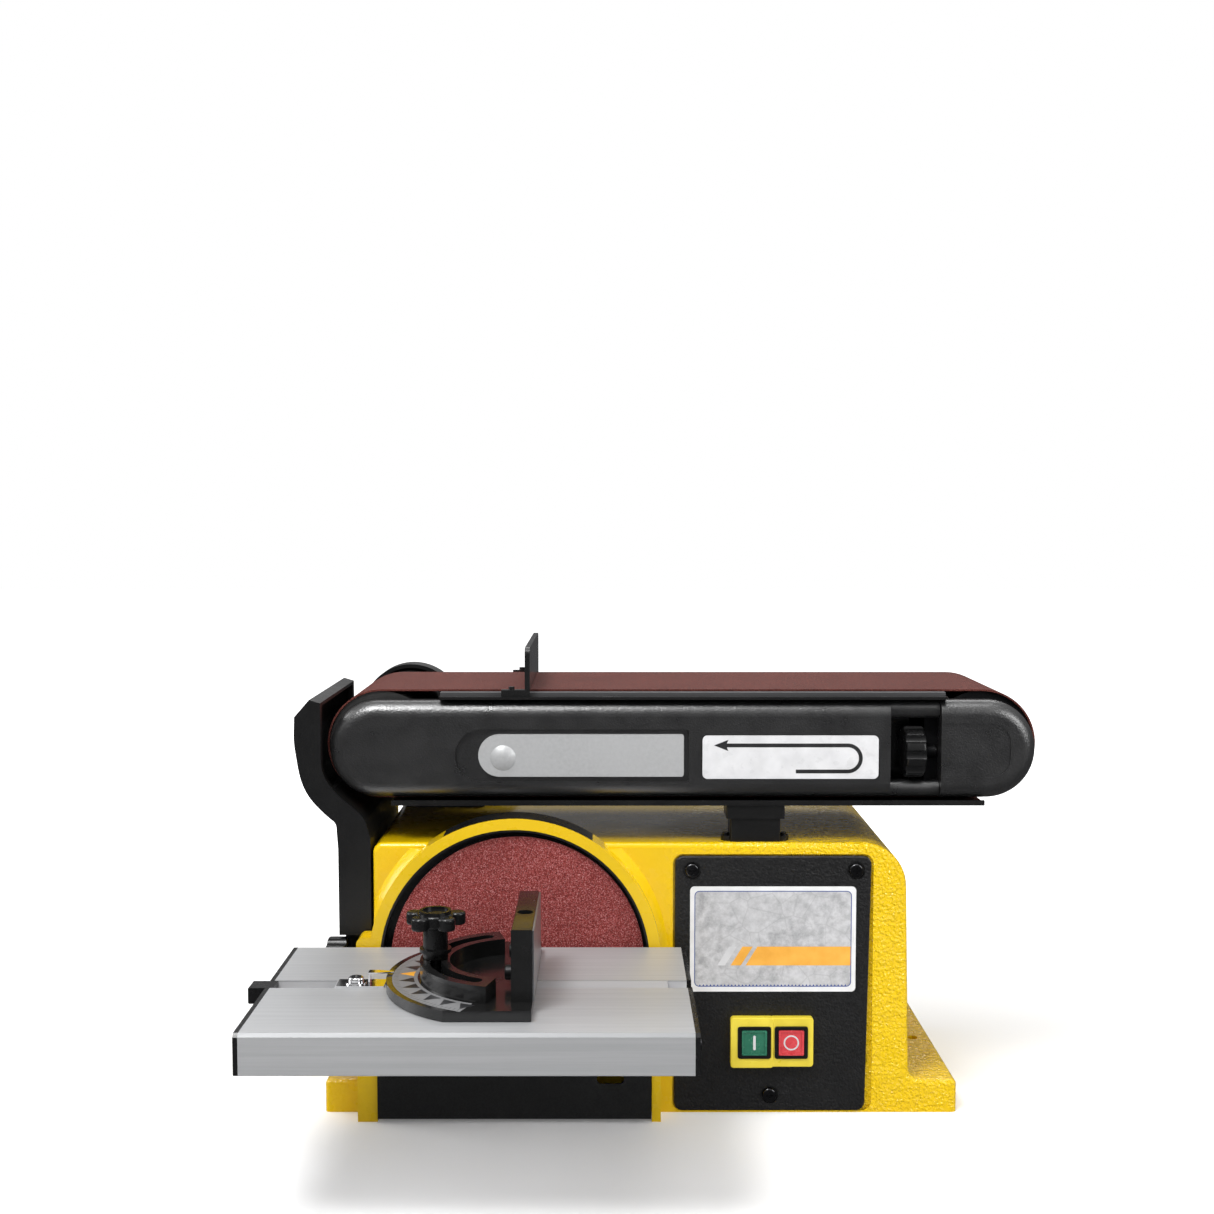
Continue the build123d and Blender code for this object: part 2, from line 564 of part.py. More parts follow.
def hood_shape():
    """Closed outline of the hood in X and Z."""
    outer, inner = hood_outline(), hood_inside()
    bulge = Spline(*outer[1:9], tangents=[(0, -1), (0, -1)])
    bend = Spline(*inner[2:7], tangents=[(-0.55, 1), (0, 1)])
    sides = [Polyline(*outer[:2]), bulge, Polyline(*outer[8:], *inner[:3]), bend,
             Polyline(*inner[6:], outer[0])]
    return make_face(sides)


def dust_hood():
    """Moulded chute that catches dust at the drive drum and leads it down the base's side."""
    near, far = BASE_FRONT + 2, 50.0
    low_near, low_top = -51.0, 108.0
    hood = slab_y(hood_shape(), near, far) - block(-200, -160, near - 1, low_near, 60, low_top)
    wall = 2.6
    left = [(x + wall, min(max(z, 65), 245)) for x, z in hood_outline()[1:]]
    right = [(x - wall, min(max(z, 65), 245)) for x, z in hood_inside()]
    duct = slab_y(make_face(Polyline(*left, *right, close=True)), near + wall, far - wall)
    hood -= duct - block(-200, -160, near, low_near + wall, 60, low_top + wall)
    mouth = block(-196, -160, near + 6, far - 6, 196, 246)
    return hood - mouth - rod_y(-173, 82, 8, far - 3, far + 1)


def dust_port():
    """Round spigot for a vacuum hose at the back of the hood."""
    flange = block(-183, -163.2, 50, 53, 64, 100)
    spigot = rod_y(-173, 82, 9.5, 50, 78)
    return flange + spigot - rod_y(-173, 82, 7.8, 49, 79)


def rest_post():
    """Stop on the base top that carries the arm when it lies flat."""
    x0, x1 = 49.5, 84.5
    post = block(x0 + 2.5, x1 - 2.5, BASE_FRONT + 4, BASE_FRONT + 24, BASE_TOP, 178.5)
    post += block(x0, x1, BASE_FRONT + 3, BASE_FRONT + 25, 178.3, 186.2)
    post = fillet(post.edges().filter_by(Axis.Z), 1.2)
    for x in (x0 + 1.5, x1 - 1.5):
        post += rod_z(x, BASE_FRONT + 10, 4.4, BASE_TOP, BASE_TOP + 3)
    return post


def rest_post_screws():
    """Two screws through the post's foot lugs."""
    return Compound([rod_z(x, BASE_FRONT + 10, 2.0, BASE_TOP + 3, BASE_TOP + 4.6) for x in (49.6, 84.4)])


# ---- Belt arm ----
def belt_loop(radius):
    """Pill outline round drum and idler."""
    return Pos((PIVOT_X + IDLER_X) / 2, ARM_Z) * SlotCenterToCenter(IDLER_X - PIVOT_X, 2 * radius)


def sanding_belt():
    """Endless abrasive belt round drum and idler."""
    inner = DRUM_R + GAP
    return slab_y(belt_loop(inner + BELT_THICK) - belt_loop(inner), BELT_NEAR, BELT_FAR)


def platen():
    """Steel backing plate under the belt's upper run."""
    return block(-122, 181, -66, BELT_FAR + 2, DECK_TOP, DECK_TOP + 1.9)


def arm_frame():
    """Bent steel frame: rear plate with the pivot collar, a box between the belt's two runs, knob recess."""
    left, right = -118.0, 147.0
    low = 196.0
    sheet = 1.6
    rear = disc(PIVOT_X, ARM_Z, 27) + rectangle(PIVOT_X, 168, low, DECK_TOP - 0.4)
    frame = slab_y(rear, 43, 46) + rod_y(PIVOT_X, ARM_Z, 27, 46, 53.5)
    frame += block(-135, 168, 43, 46, TRAY_TOP + 0.5, low + 1)
    frame += block(-122, 168, ARM_NEAR + 0.5, 46, DECK_TOP - sheet, DECK_TOP)
    frame += block(167, 181, ARM_NEAR + 0.5, -64, DECK_TOP - sheet, DECK_TOP)
    frame += block(left, right, BELT_NEAR, BELT_NEAR + 2.5, low, DECK_TOP)
    frame += block(left, right, BELT_NEAR, 44, low, low + 2.5)
    frame += block(right - 2.5, right, BELT_NEAR, RECESS_BACK + 2.5, low, DECK_TOP)
    frame += block(right - 2.5, KNOB_X1 - 5.0, RECESS_BACK, RECESS_BACK + 2.5, low, DECK_TOP)
    frame -= rod_y(PIVOT_X, ARM_Z, SLEEVE_R + FIT, 42, 55)
    frame -= rod_y(LEVER_X, ARM_Z, 5 + FIT, 42, 47)
    return frame


def lower_tray():
    """Sheet guard under the belt's lower run, with a turned-up front lip."""
    tray = block(-151, 203.7, ARM_NEAR + 1, 46, TRAY_TOP - 1.6, TRAY_TOP)
    return tray + block(-151, 203.7, ARM_NEAR + 1, ARM_NEAR + 2.6, TRAY_TOP - 1.6, TRAY_TOP + 1.5)


def cover_shape(x0, x1, radius):
    """Pill outline between two centres, at the cover's height."""
    return Pos((x0 + x1) / 2, COVER_Z) * SlotCenterToCenter(x1 - x0, 2 * radius)


def front_cover():
    """Moulded cover on the near side of the arm, with two rails round the tracking knob."""
    back = BELT_NEAR - 0.8
    end = 147.0
    body = slab_y(cover_shape(-159, CAP_X, COVER_R), ARM_NEAR, back)
    body = fillet(edges_at(body, Axis.Y, ARM_NEAR), 9)
    main = body & block(-200, end, ARM_NEAR - 1, back + 1, 180, 260)
    main -= slab_y(cover_shape(-159, CAP_X, COVER_R - 2.5) & rectangle(-200, end - 2.5, 180, 260),
                   ARM_NEAR + 5, back + 1)
    for low, high in ((COVER_Z - COVER_R, 200.6), (238.4, COVER_Z + COVER_R)):
        middle, half = (low + high) / 2, (high - low) / 2
        rail = rod_x(ARM_NEAR + 9.5, middle, half + 0.1, end - 1, CAP_LEFT - 0.3)
        rail += block(end - 1, CAP_LEFT - 0.3, ARM_NEAR + 9.5, back, low, high)
        main += rail & block(end - 2, CAP_LEFT - 0.3, ARM_NEAR, back, low, high)
    main -= slab_y(inlay_outline(3.0) + inlay_end(), ARM_NEAR - 1, ARM_NEAR + 2.4)
    main -= slab_y(label_outline(0.5), ARM_NEAR - 1, ARM_NEAR + 0.9)
    return main


def inlay_outline(margin):
    """Long panel with a round left end."""
    x0, x1, z0, z1 = INLAY_BOX
    radius = (z1 - z0) / 2
    left = disc(x0 + radius, (z0 + z1) / 2, radius + margin)
    plain = soft_rectangle(x0 + radius, x1 + margin, z0 - margin, z1 + margin, 1.5)
    return left + plain + rectangle(x0 + radius, x1 - 20, z0 - margin, z1 + margin)


def inlay_end():
    """Extra length of the recess at the inlay's round end."""
    x0, x1, z0, z1 = INLAY_BOX
    radius = (z1 - z0) / 2 + 3
    middle = (z0 + z1) / 2
    return disc(x0 + 2, middle, radius) + rectangle(x0 + 2, x0 + 20, middle - radius, middle + radius)


def inlay_panel():
    """Satin silver panel with a low dome at its round end."""
    face = ARM_NEAR + 0.8
    dome_r, dome_high = 7.6, 2.6
    ball_r = (dome_r ** 2 + dome_high ** 2) / (2 * dome_high)
    ball = Pos(-84.0, face - dome_high + ball_r, 215.2) * Sphere(ball_r)
    dome = ball & block(-95, -73, face - dome_high - 1, face + 0.4, 205, 228)
    return slab_y(inlay_outline(0), face, face + 1.6) + dome


def label_outline(margin):
    """Outline of the belt direction label."""
    return soft_rectangle(34.9 - margin, 139.9 + margin, 202.8 - margin, 228.9 + margin, 3)


def direction_label():
    """Thin metal label that shows the belt's running direction."""
    return slab_y(label_outline(0), ARM_NEAR + 0.3, ARM_NEAR + 0.9)


def end_cap():
    """Moulded cap over the idler's near end, with a flat recessed field."""
    back = BELT_NEAR - 0.8
    body = slab_y(cover_shape(100, CAP_X, COVER_R + 0.3), ARM_NEAR, back)
    body = fillet(edges_at(body, Axis.Y, ARM_NEAR), 9)
    cap = body & block(CAP_LEFT, 240, ARM_NEAR - 1, back + 1, 180, 260)
    cap -= slab_y(cover_shape(100, CAP_X, COVER_R - 2.5) & rectangle(CAP_LEFT + 2.5, 240, 180, 260),
                  ARM_NEAR + 5, back + 1)
    field = soft_rectangle(160, 218.5, 203.5, 236.0, 12)
    return cap - slab_y(field, ARM_NEAR - 1, ARM_NEAR + 0.6)


def work_stop():
    """Upright plate across the belt, on a foot each side of it."""
    stop_x = PIVOT_X + 87
    belt_top = ARM_Z + DRUM_R + GAP + BELT_THICK
    plate = block(stop_x, stop_x + 3, -72, 46, belt_top + 1.1, 281)
    plate = fillet(plate.edges().filter_by(Axis.X).sort_by(Axis.Z)[-2:], 4)
    for y0, y1 in ((-72, -67), (42.3, 46)):
        plate += block(stop_x, stop_x + 3, y0, y1, DECK_TOP, DECK_TOP + 6.8)
        plate += block(stop_x - 14, stop_x + 3, y0, y1, DECK_TOP, DECK_TOP + 4)
        plate -= rod_z(stop_x - 8, (y0 + y1) / 2, 1.2, DECK_TOP - 1, DECK_TOP + 5)
    return plate


def work_stop_screws():
    """Screws through the work stop's feet."""
    screws = []
    for y in (-69.5, 44.15):
        x = PIVOT_X + 79
        head = rod_z(x, y, 1.8, DECK_TOP + 4, DECK_TOP + 5.8)
        screws.append(head + rod_z(x, y, 1.1, DECK_TOP, DECK_TOP + 4))
    return Compound(screws)


def carriage_guide():
    """Block in the arm frame that the idler carriage slides through."""
    low, high = 198.5, 237.0
    guide = block(76, 136, -20, 20, low, high)
    guide -= block(75, 137, -12 - FIT, 12 + FIT, ARM_Z - 10 - FIT, ARM_Z + 10 + FIT)
    return guide + block(34, 38, -20, 20, low, high) + block(37, 77, -20, 20, low, low + 4.5)


def idler_carriage():
    """Sliding bar with the fork that holds the idler."""
    bar, plate = 10, 26                    # half heights
    cross = 169.6
    carriage = block(66, cross + 0.4, -12, 12, ARM_Z - bar, ARM_Z + bar)
    carriage += block(cross, cross + 2.2, BELT_NEAR - 0.5, BELT_FAR + 2, ARM_Z - plate, ARM_Z + plate)
    for y0, y1 in ((BELT_NEAR - 0.5, BELT_NEAR + 2), (BELT_FAR - 2.4, BELT_FAR + 2)):
        arm = rectangle(cross, IDLER_X, ARM_Z - plate, ARM_Z + plate) + disc(IDLER_X, ARM_Z, plate)
        arm = slab_y(arm, y0, y1)
        carriage += arm - rod_y(IDLER_X, ARM_Z, 6, y0 - 1, y1 + 1)
    carriage += rod_x(KNOB_Y, KNOB_Z, 4, cross, 175.5)
    return carriage - rod_x(KNOB_Y, KNOB_Z, 3 + FIT, cross - 1, 177)


def idler_shaft():
    """Fixed axle of the idler."""
    return rod_y(IDLER_X, ARM_Z, 6, BELT_NEAR - 0.5, BELT_FAR + 2)


def idler_roller():
    """Idler roller, bored for a bearing at each end."""
    roller = rod_y(IDLER_X, ARM_Z, DRUM_R, BELT_NEAR + 3, BELT_FAR - 3)
    roller -= rod_y(IDLER_X, ARM_Z, 8, BELT_NEAR, BELT_FAR)
    for y0, y1 in ((BELT_NEAR + 3, BELT_NEAR + 12), (BELT_FAR - 12, BELT_FAR - 3)):
        roller -= rod_y(IDLER_X, ARM_Z, 14, y0 - 1 if y0 < 0 else y0, y1 if y0 < 0 else y1 + 1)
    return roller


def idler_bearings():
    """Bearings pressed into the idler."""
    places = (BELT_NEAR + 3.5, BELT_FAR - 11.5)
    return Compound([ball_bearing(IDLER_X, ARM_Z, 6 + FIT, 14, y, y + 8) for y in places])


def tension_spring():
    """Compression spring that pushes the carriage outwards."""
    helix = Helix(pitch=4.4, height=24.2, radius=7)
    wire = Plane(origin=helix @ 0, z_dir=helix % 0) * Circle(1)
    return Pos(40, 0, ARM_Z) * Rot(0, 90, 0) * sweep(wire, path=helix, is_frenet=True)


def tension_lever():
    """Quick-release lever with its cam shaft, on the rear of the arm."""
    tip_x = LEVER_X + 55
    lever = rod_y(LEVER_X, ARM_Z, 11, 46.4, 55) + rod_y(LEVER_X, ARM_Z, 5, 30, 47)
    lever += slab_y(rectangle(LEVER_X, tip_x, ARM_Z - 5, ARM_Z + 5) + disc(tip_x, ARM_Z, 9), 48, 55)
    lever += rod_y(LEVER_X + 2.5, ARM_Z, 8, 26, 34)
    return fillet(edges_at(lever, Axis.Y, 55), 1.5)


def tracking_knob():
    """Fluted knob, washer and screw that steer the idler."""
    knob = rod_x(KNOB_Y, KNOB_Z, KNOB_R, KNOB_X0, KNOB_X1)
    knob = fillet(knob.edges(), 1.8)
    for i in range(10):
        turn = radians(36 * i)
        y, z = KNOB_Y + (KNOB_R + 1.2) * cos(turn), KNOB_Z + (KNOB_R + 1.2) * sin(turn)
        knob -= rod_x(y, z, 3.2, KNOB_X0 - 1, KNOB_X1 + 1)
    knob += rod_x(KNOB_Y, KNOB_Z, 9, KNOB_X1 - 0.5, KNOB_X1 + 0.9)
    return knob + rod_x(KNOB_Y, KNOB_Z, 3, KNOB_X1, 176.4)


# ---- Table ----
def table_outline():
    """Cross-section of the table, drawn in Y and Z, with a bevelled front edge."""
    low = TABLE_TOP - TABLE_THICK
    return make_face(Polyline((TABLE_FRONT, low + 0.8), (TABLE_FRONT + 0.8, low), (TABLE_FAR - 0.8, low),
                              (TABLE_FAR, low + 0.8), (TABLE_FAR, TABLE_TOP - 0.8),
                              (TABLE_FAR - 0.8, TABLE_TOP), (TABLE_FRONT + 1.8, TABLE_TOP),
                              (TABLE_FRONT, TABLE_TOP - 1.8), close=True))


def slot_profile():
    """Cross-section of the mitre slot."""
    return rectangle(SLOT_Y - SLOT_W / 2, SLOT_Y + SLOT_W / 2, TABLE_TOP - SLOT_DEPTH, TABLE_TOP + 1)


def table_top():
    """Aluminium extrusion with three chambers and the mitre slot."""
    low = TABLE_TOP - TABLE_THICK
    profile = table_outline() - slot_profile()
    profile -= rectangle(TABLE_FRONT + 3, SLOT_Y - 9.5, low + 2.8, TABLE_TOP - 3.2)
    profile -= rectangle(SLOT_Y + 9.5, TABLE_FAR - 3, low + 2.8, TABLE_TOP - 3.2)
    profile -= rectangle(SLOT_Y - 6.5, SLOT_Y + 6.5, low + 2.8, TABLE_TOP - SLOT_DEPTH - 2.8)
    return slab_x(profile, TABLE_LEFT + CAP_THICK, TABLE_RIGHT - CAP_THICK)


def table_cap(x0):
    """Black end plate of the table, slotted like the table."""
    cap = slab_x(table_outline() - slot_profile(), x0, x0 + CAP_THICK)
    for y in cap_screw_places():
        cap -= rod_x(y, 95.0, 1.5, x0 - 1, x0 + CAP_THICK + 1)
    return cap


def cap_screw_places():
    """Screw places along Y, the same at both ends."""
    return [-226.0, -185.0, -141.0, -106.0]


def cap_screws():
    """Small pan-head screws of both end caps."""
    screws = []
    for y in cap_screw_places():
        screws.append(rod_x(y, 95.0, 2.6, TABLE_RIGHT, TABLE_RIGHT + 1.4)
                      + rod_x(y, 95.0, 1.3, TABLE_RIGHT - 2, TABLE_RIGHT + 0.1))
        screws.append(rod_x(y, 95.0, 2.6, TABLE_LEFT - 1.4, TABLE_LEFT)
                      + rod_x(y, 95.0, 1.3, TABLE_LEFT - 0.1, TABLE_LEFT + 2))
    return Compound(screws)


def slot_block():
    """Moulded stop that closes the left end of the mitre slot."""
    block_shape = block(TABLE_LEFT - 9.5, TABLE_LEFT + 4.5, SLOT_Y - 6.3, SLOT_Y + 6.3, TABLE_TOP - 8.8,
                        TABLE_TOP - 0.1)
    return fillet(edges_at(block_shape, Axis.X, TABLE_LEFT - 9.5), 1)


def left_bracket():
    """Left table bracket: pivot eye, screw flange and the curved slot of the tilt lock."""
    face = LEG_LEFT - 0.4
    low = TABLE_TOP - TABLE_THICK
    plate = make_face(Polyline((-215, low), (-97, low), (TILT_Y + 6, TILT_Z - 6), (TILT_Y - 6, TILT_Z - 7),
                               (-215, low - 5), close=True))
    plate += disc(TILT_Y, TILT_Z, EAR_R)
    reach = hypot(LOCK_Y - TILT_Y, LOCK_Z - TILT_Z)
    high_end = degrees(atan2(LOCK_Z - TILT_Z, LOCK_Y - TILT_Y)) + 2.6
    low_end = high_end - 50.5
    arc = sector(TILT_Y, TILT_Z, reach + 8, low_end - 7, high_end + 7)
    arc -= sector(TILT_Y, TILT_Z, reach - 8, low_end - 9, high_end + 9)
    web = sector(TILT_Y, TILT_Z, reach + 8, low_end - 7, 15) & rectangle(TILT_Y, -60, 50, low)
    plate += arc + web
    slot = sector(TILT_Y, TILT_Z, reach + 3.4, low_end, high_end) - disc(TILT_Y, TILT_Z, reach - 3.4)
    for angle in (low_end, high_end):
        slot += disc(TILT_Y + reach * cos(radians(angle)), TILT_Z + reach * sin(radians(angle)), 3.4)
    bracket = slab_x(plate - slot, face - 3, face)
    bracket += block(face - 17, face - 1, -215, -112, low - 2, low)
    return bracket - rod_x(TILT_Y, TILT_Z, 3 + FIT, face - 4, face + 1)


def right_bracket():
    """Right table bracket: pivot eye and screw flange."""
    face = LEG_RIGHT + 0.4
    low = TABLE_TOP - TABLE_THICK
    plate = make_face(Polyline((-215, low), (-97, low), (TILT_Y + 6, TILT_Z - 6), (TILT_Y - 6, TILT_Z - 7),
                               (-215, low - 5), close=True))
    bracket = slab_x(plate + disc(TILT_Y, TILT_Z, EAR_R), face, face + 3)
    bracket += block(face + 1, 21, -215, -97, low - 2, low)
    return bracket - rod_x(TILT_Y, TILT_Z, 3 + FIT, face - 1, face + 4)


def bracket_screws():
    """Screws that hold both brackets up against the table."""
    low = TABLE_TOP - TABLE_THICK
    screws = []
    for x, y in ((-181, -200), (-181, -125), (17, -200), (17, -125)):
        screws.append(rod_z(x, y, 1.9, low - 4, low - 2))
    return Compound(screws)


def tilt_pins():
    """Two pivot pins of the table, held in the casting's ears."""
    left = rod_x(TILT_Y, TILT_Z, 3, LEG_LEFT - 3.6, LEG_LEFT + LEG_THICK_LEFT) \
        + rod_x(TILT_Y, TILT_Z, 5, LEG_LEFT - 6, LEG_LEFT - 3.6)
    right = rod_x(TILT_Y, TILT_Z, 3, LEG_RIGHT - LEG_THICK_RIGHT, LEG_RIGHT + 3.6) \
        + rod_x(TILT_Y, TILT_Z, 5, LEG_RIGHT + 3.6, LEG_RIGHT + 6)
    return Compound([left, right])


def table_lock_knob():
    """Fluted knob and stud that clamp the left bracket against the lock ear."""
    knob = rod_x(LOCK_Y, LOCK_Z, 15, -190, -178.5)
    knob = fillet(knob.edges(), 1.5)
    for i in range(8):
        turn = radians(45 * i + 22.5)
        knob -= rod_x(LOCK_Y + 17 * cos(turn), LOCK_Z + 17 * sin(turn), 4.2, -191, -178)
    knob += rod_x(LOCK_Y, LOCK_Z, 8, -179, -174)
    return knob + rod_x(LOCK_Y, LOCK_Z, 3, -175, BASE_LEFT + 2)


# ---- Mitre gauge ----
def miter_bar():
    """Steel bar that slides in the table slot."""
    bar = block(BAR_LEFT, BAR_LEFT + BAR_LENGTH, SLOT_Y - SLOT_W / 2 + GAP, SLOT_Y + SLOT_W / 2 - GAP,
                TABLE_TOP - SLOT_DEPTH + GAP, TABLE_TOP - 0.1)
    bar -= rod_z(MITER_X, SLOT_Y, 3, 95, 110)
    bar -= rod_z(MITER_X - STUD_RADIUS, SLOT_Y, 3 + FIT, 95, 110)
    return bar - rod_z(-158, SLOT_Y, 1.6, 95, 110)


def miter_pivot_pin():
    """Pin the mitre head turns on."""
    return rod_z(MITER_X, SLOT_Y, 3, TABLE_TOP - 8, TABLE_TOP + GAP + HEAD_THICK - 0.4)


def miter_pointer():
    """Steel plate on the bar, bent up into a pointer that reaches over the scale."""
    top = TABLE_TOP - 0.1
    high = TABLE_TOP + GAP + HEAD_THICK + 0.6
    strip = block(-168, -142.2, SLOT_Y - 6.3, SLOT_Y + 6.3, top, top + 1)
    strip += block(-151, -150, SLOT_Y - 2.6, SLOT_Y + 2.6, top, high + 0.8)
    tip = make_face(Polyline((-151, SLOT_Y - 2.6), (-146, SLOT_Y - 2.6), (-137.5, SLOT_Y - 0.5),
                             (-137.5, SLOT_Y + 0.5), (-146, SLOT_Y + 2.6), (-151, SLOT_Y + 2.6), close=True))
    strip += slab_z(tip, high, high + 0.8)
    return strip - rod_z(-158, SLOT_Y, 1.6, top - 1, top + 2)


def pointer_screw():
    """Pan-head screw and washer of the pointer."""
    top = TABLE_TOP + 0.9
    head = fillet(rod_z(-158, SLOT_Y, 4.2, top + 0.7, top + 3.4).edges().sort_by(Axis.Z)[-1:], 1.2)
    head -= block(-161, -155, SLOT_Y - 0.5, SLOT_Y + 0.5, top + 2.4, top + 4)
    head -= block(-158.5, -157.5, SLOT_Y - 3, SLOT_Y + 3, top + 2.4, top + 4)
    return head + rod_z(-158, SLOT_Y, 5.6, top, top + 0.7) + rod_z(-158, SLOT_Y, 1.5, top - 6, top + 0.1)


def miter_head():
    """Half-round head with a raised, slotted arc."""
    low, top = TABLE_TOP + GAP, TABLE_TOP + GAP + HEAD_THICK
    plate = disc(MITER_X, SLOT_Y, HEAD_R) & rectangle(MITER_X - HEAD_R, FENCE_RIGHT, SLOT_Y - HEAD_HALF,
                                                      SLOT_Y + HEAD_HALF)
    head = slab_z(plate, low, top)
    arc = sector(MITER_X, SLOT_Y, 53, 105, 255) - disc(MITER_X, SLOT_Y, 37)
    head += slab_z(arc, top - 0.5, top + 9)
    slot = sector(MITER_X, SLOT_Y, STUD_RADIUS + 3.4, 116, 244) - disc(MITER_X, SLOT_Y, STUD_RADIUS - 3.4)
    for angle in (radians(116), radians(244)):
        slot += disc(MITER_X + STUD_RADIUS * cos(angle), SLOT_Y + STUD_RADIUS * sin(angle), 3.4)
    head -= slab_z(slot, low - 1, top + 10)
    head -= slab_z(sector(MITER_X, SLOT_Y, 68, 112, 248) - disc(MITER_X, SLOT_Y, 54), top - 0.3, top + 1)
    return head - rod_z(MITER_X, SLOT_Y, 3 + FIT, low - 1, top + 7)


def miter_scale():
    """Silver degree scale let into the head."""
    top = TABLE_TOP + GAP + HEAD_THICK
    ring = sector(MITER_X, SLOT_Y, 67.8, 112.4, 247.6) - disc(MITER_X, SLOT_Y, 54.2)
    return slab_z(ring, top - 0.3, top)


def miter_fence():
    """Cast fence block that stands on the head's straight edge."""
    low = TABLE_TOP + GAP + HEAD_THICK
    fence = block(FENCE_LEFT, FENCE_RIGHT, FENCE_NEAR, FENCE_FAR, low, FENCE_TOP)
    fence = fillet(fence.edges().filter_by(Axis.Y), 0.8)
    middle = (FENCE_LEFT + FENCE_RIGHT) / 2
    fence -= rod_z(middle, FENCE_NEAR + 35, 4.3, FENCE_TOP - 12, FENCE_TOP + 1)
    return fence


def fence_face():
    """Thin steel strip on the fence's working face."""
    low = TABLE_TOP + GAP + HEAD_THICK
    return block(FENCE_RIGHT, FENCE_RIGHT + 0.8, FENCE_NEAR + 0.5, FENCE_FAR - 0.5,
                 low + 0.5, FENCE_TOP - 0.5)


def fence_screws():
    """Two screws that clamp the fence to the head."""
    screws = []
    for y in (SLOT_Y - 20, SLOT_Y + 20):
        screws.append(fillet(rod_x(y, 119, 4, FENCE_LEFT - 5, FENCE_LEFT).edges().sort_by(Axis.X)[:1], 1))
    return Compound(screws)


def knob_lobes():
    """Five-lobed outline of the star knob."""
    lobes = Circle(10.2)
    for i in range(5):
        turn = radians(72 * i + 18)
        lobes += Pos(12.0 * cos(turn), 12.0 * sin(turn)) * Circle(4.7)
    return lobes


def miter_knob():
    """Star knob with a dished top, a collar and the lock stud."""
    x = MITER_X - STUD_RADIUS
    ring_top = TABLE_TOP + GAP + HEAD_THICK + 9
    low, high = 138.6, 145.5
    knob = slab_z(Pos(x, SLOT_Y) * knob_lobes(), low, high)
    knob = fillet(knob.faces().sort_by(Axis.Z)[-1].edges(), 1.5)
    knob = fillet(knob.faces().sort_by(Axis.Z)[0].edges(), 1.2)
    knob += rod_z(x, SLOT_Y, 8.6, high - 0.5, 147.2) - rod_z(x, SLOT_Y, 7.0, 145.8, 148)
    knob += rod_z(x, SLOT_Y, 6.7, 126, low + 1) + rod_z(x, SLOT_Y, 8.6, 124.6, 126.4)
    knob += rod_z(x, SLOT_Y, 6.8, ring_top + GAP, 125)
    return knob + rod_z(x, SLOT_Y, 3, TABLE_TOP - 7, ring_top + 1)


# ---- Every node and the function that makes it ----
def group(*shapes):
    """Separate solids kept together in one node."""
    return Compound([solid for shape in shapes for solid in shape.solids()])


def base_parts():
    """Pieces that stay still on the bench."""
    start_x, stop_x = button_places()
    return {
        "base_casting": base_casting(), "bottom_plate": bottom_plate(),
        "base_fasteners": group(panel_screws(), cover_screws(), pedestal_bolts(), motor_bolts(),
                                rest_post_screws(), tilt_pins()),
        "disc_guard": group(disc_guard(), disc_liner()),
        "control_panel": control_panel(), "nameplate": nameplate(),
        "switch_frame": switch_frame(), "switch_body": switch_body(),
        "switch_bezels": group(switch_bezel(start_x), switch_bezel(stop_x)),
        "button_springs": button_springs(),
        "motor_shell": motor_shell(), "motor_stator": group(motor_stator(), motor_windings()),
        "motor_end_bells": group(motor_bell(-54, -70), motor_bell(56, 70)),
        "shaft_bearings": group(motor_bearings(), drum_bearings()),
        "capacitor": capacitor(), "cord_gland": cord_gland(),
        "drive_belt": drive_belt(), "belt_cover": belt_cover(), "pedestal": pedestal(),
        "dust_hood": dust_hood(), "dust_port": dust_port(), "rest_post": rest_post(),
    }


def turning_parts():
    """Pieces on the motor shaft and on the drum shaft, and the two buttons."""
    start_x, stop_x = button_places()
    return {
        "start_button": button(start_x), "stop_button": button(stop_x),
        "motor_rotor": motor_rotor(), "motor_shaft": motor_shaft(), "cooling_fan": cooling_fan(),
        "sanding_disc": disc_plate(), "disc_paper": disc_paper(),
        "motor_pulley": pulley(DISC_X, DISC_Z, MOTOR_PULLEY_R, MOTOR_SHAFT_R),
        "drum_pulley": pulley(PIVOT_X, ARM_Z, DRUM_PULLEY_R, SHAFT_R),
        "drum_shaft": drum_shaft(), "drive_drum": drive_drum(),
    }


def arm_parts():
    """Pieces of the belt arm."""
    return {
        "arm_frame": arm_frame(), "platen": platen(), "lower_tray": lower_tray(),
        "front_cover": front_cover(), "end_cap": end_cap(),
        "inlay_panel": inlay_panel(), "direction_label": direction_label(),
        "sanding_belt": sanding_belt(), "work_stop": group(work_stop(), work_stop_screws()),
        "carriage_guide": carriage_guide(), "tension_spring": tension_spring(),
        "idler_carriage": group(idler_carriage(), idler_shaft()),
        "idler_roller": group(idler_roller(), idler_bearings()),
        "tension_lever": tension_lever(), "tracking_knob": tracking_knob(),
    }


def table_parts():
    """Pieces of the tilting table and its mitre gauge."""
    right_cap = table_cap(TABLE_RIGHT - CAP_THICK)
    return {
        "table_top": table_top(), "table_end_caps": group(table_cap(TABLE_LEFT), right_cap, slot_block()),
        "table_screws": group(cap_screws(), bracket_screws()),
        "table_brackets": group(left_bracket(), right_bracket()),
        "table_lock_knob": table_lock_knob(),
        "miter_bar": miter_bar(),
        "miter_pointer": group(miter_pointer(), pointer_screw(), miter_pivot_pin()),
        "miter_head": miter_head(), "miter_scale": miter_scale(), "miter_fence": miter_fence(),
        "fence_face": group(fence_face(), fence_screws()), "miter_knob": miter_knob(),
    }


os.makedirs("parts", exist_ok=True)
for make in (base_parts, turning_parts, arm_parts, table_parts):
    for node, shape in make().items():
        export_step(shape, f"parts/{node}.step")
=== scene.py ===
import json
import math

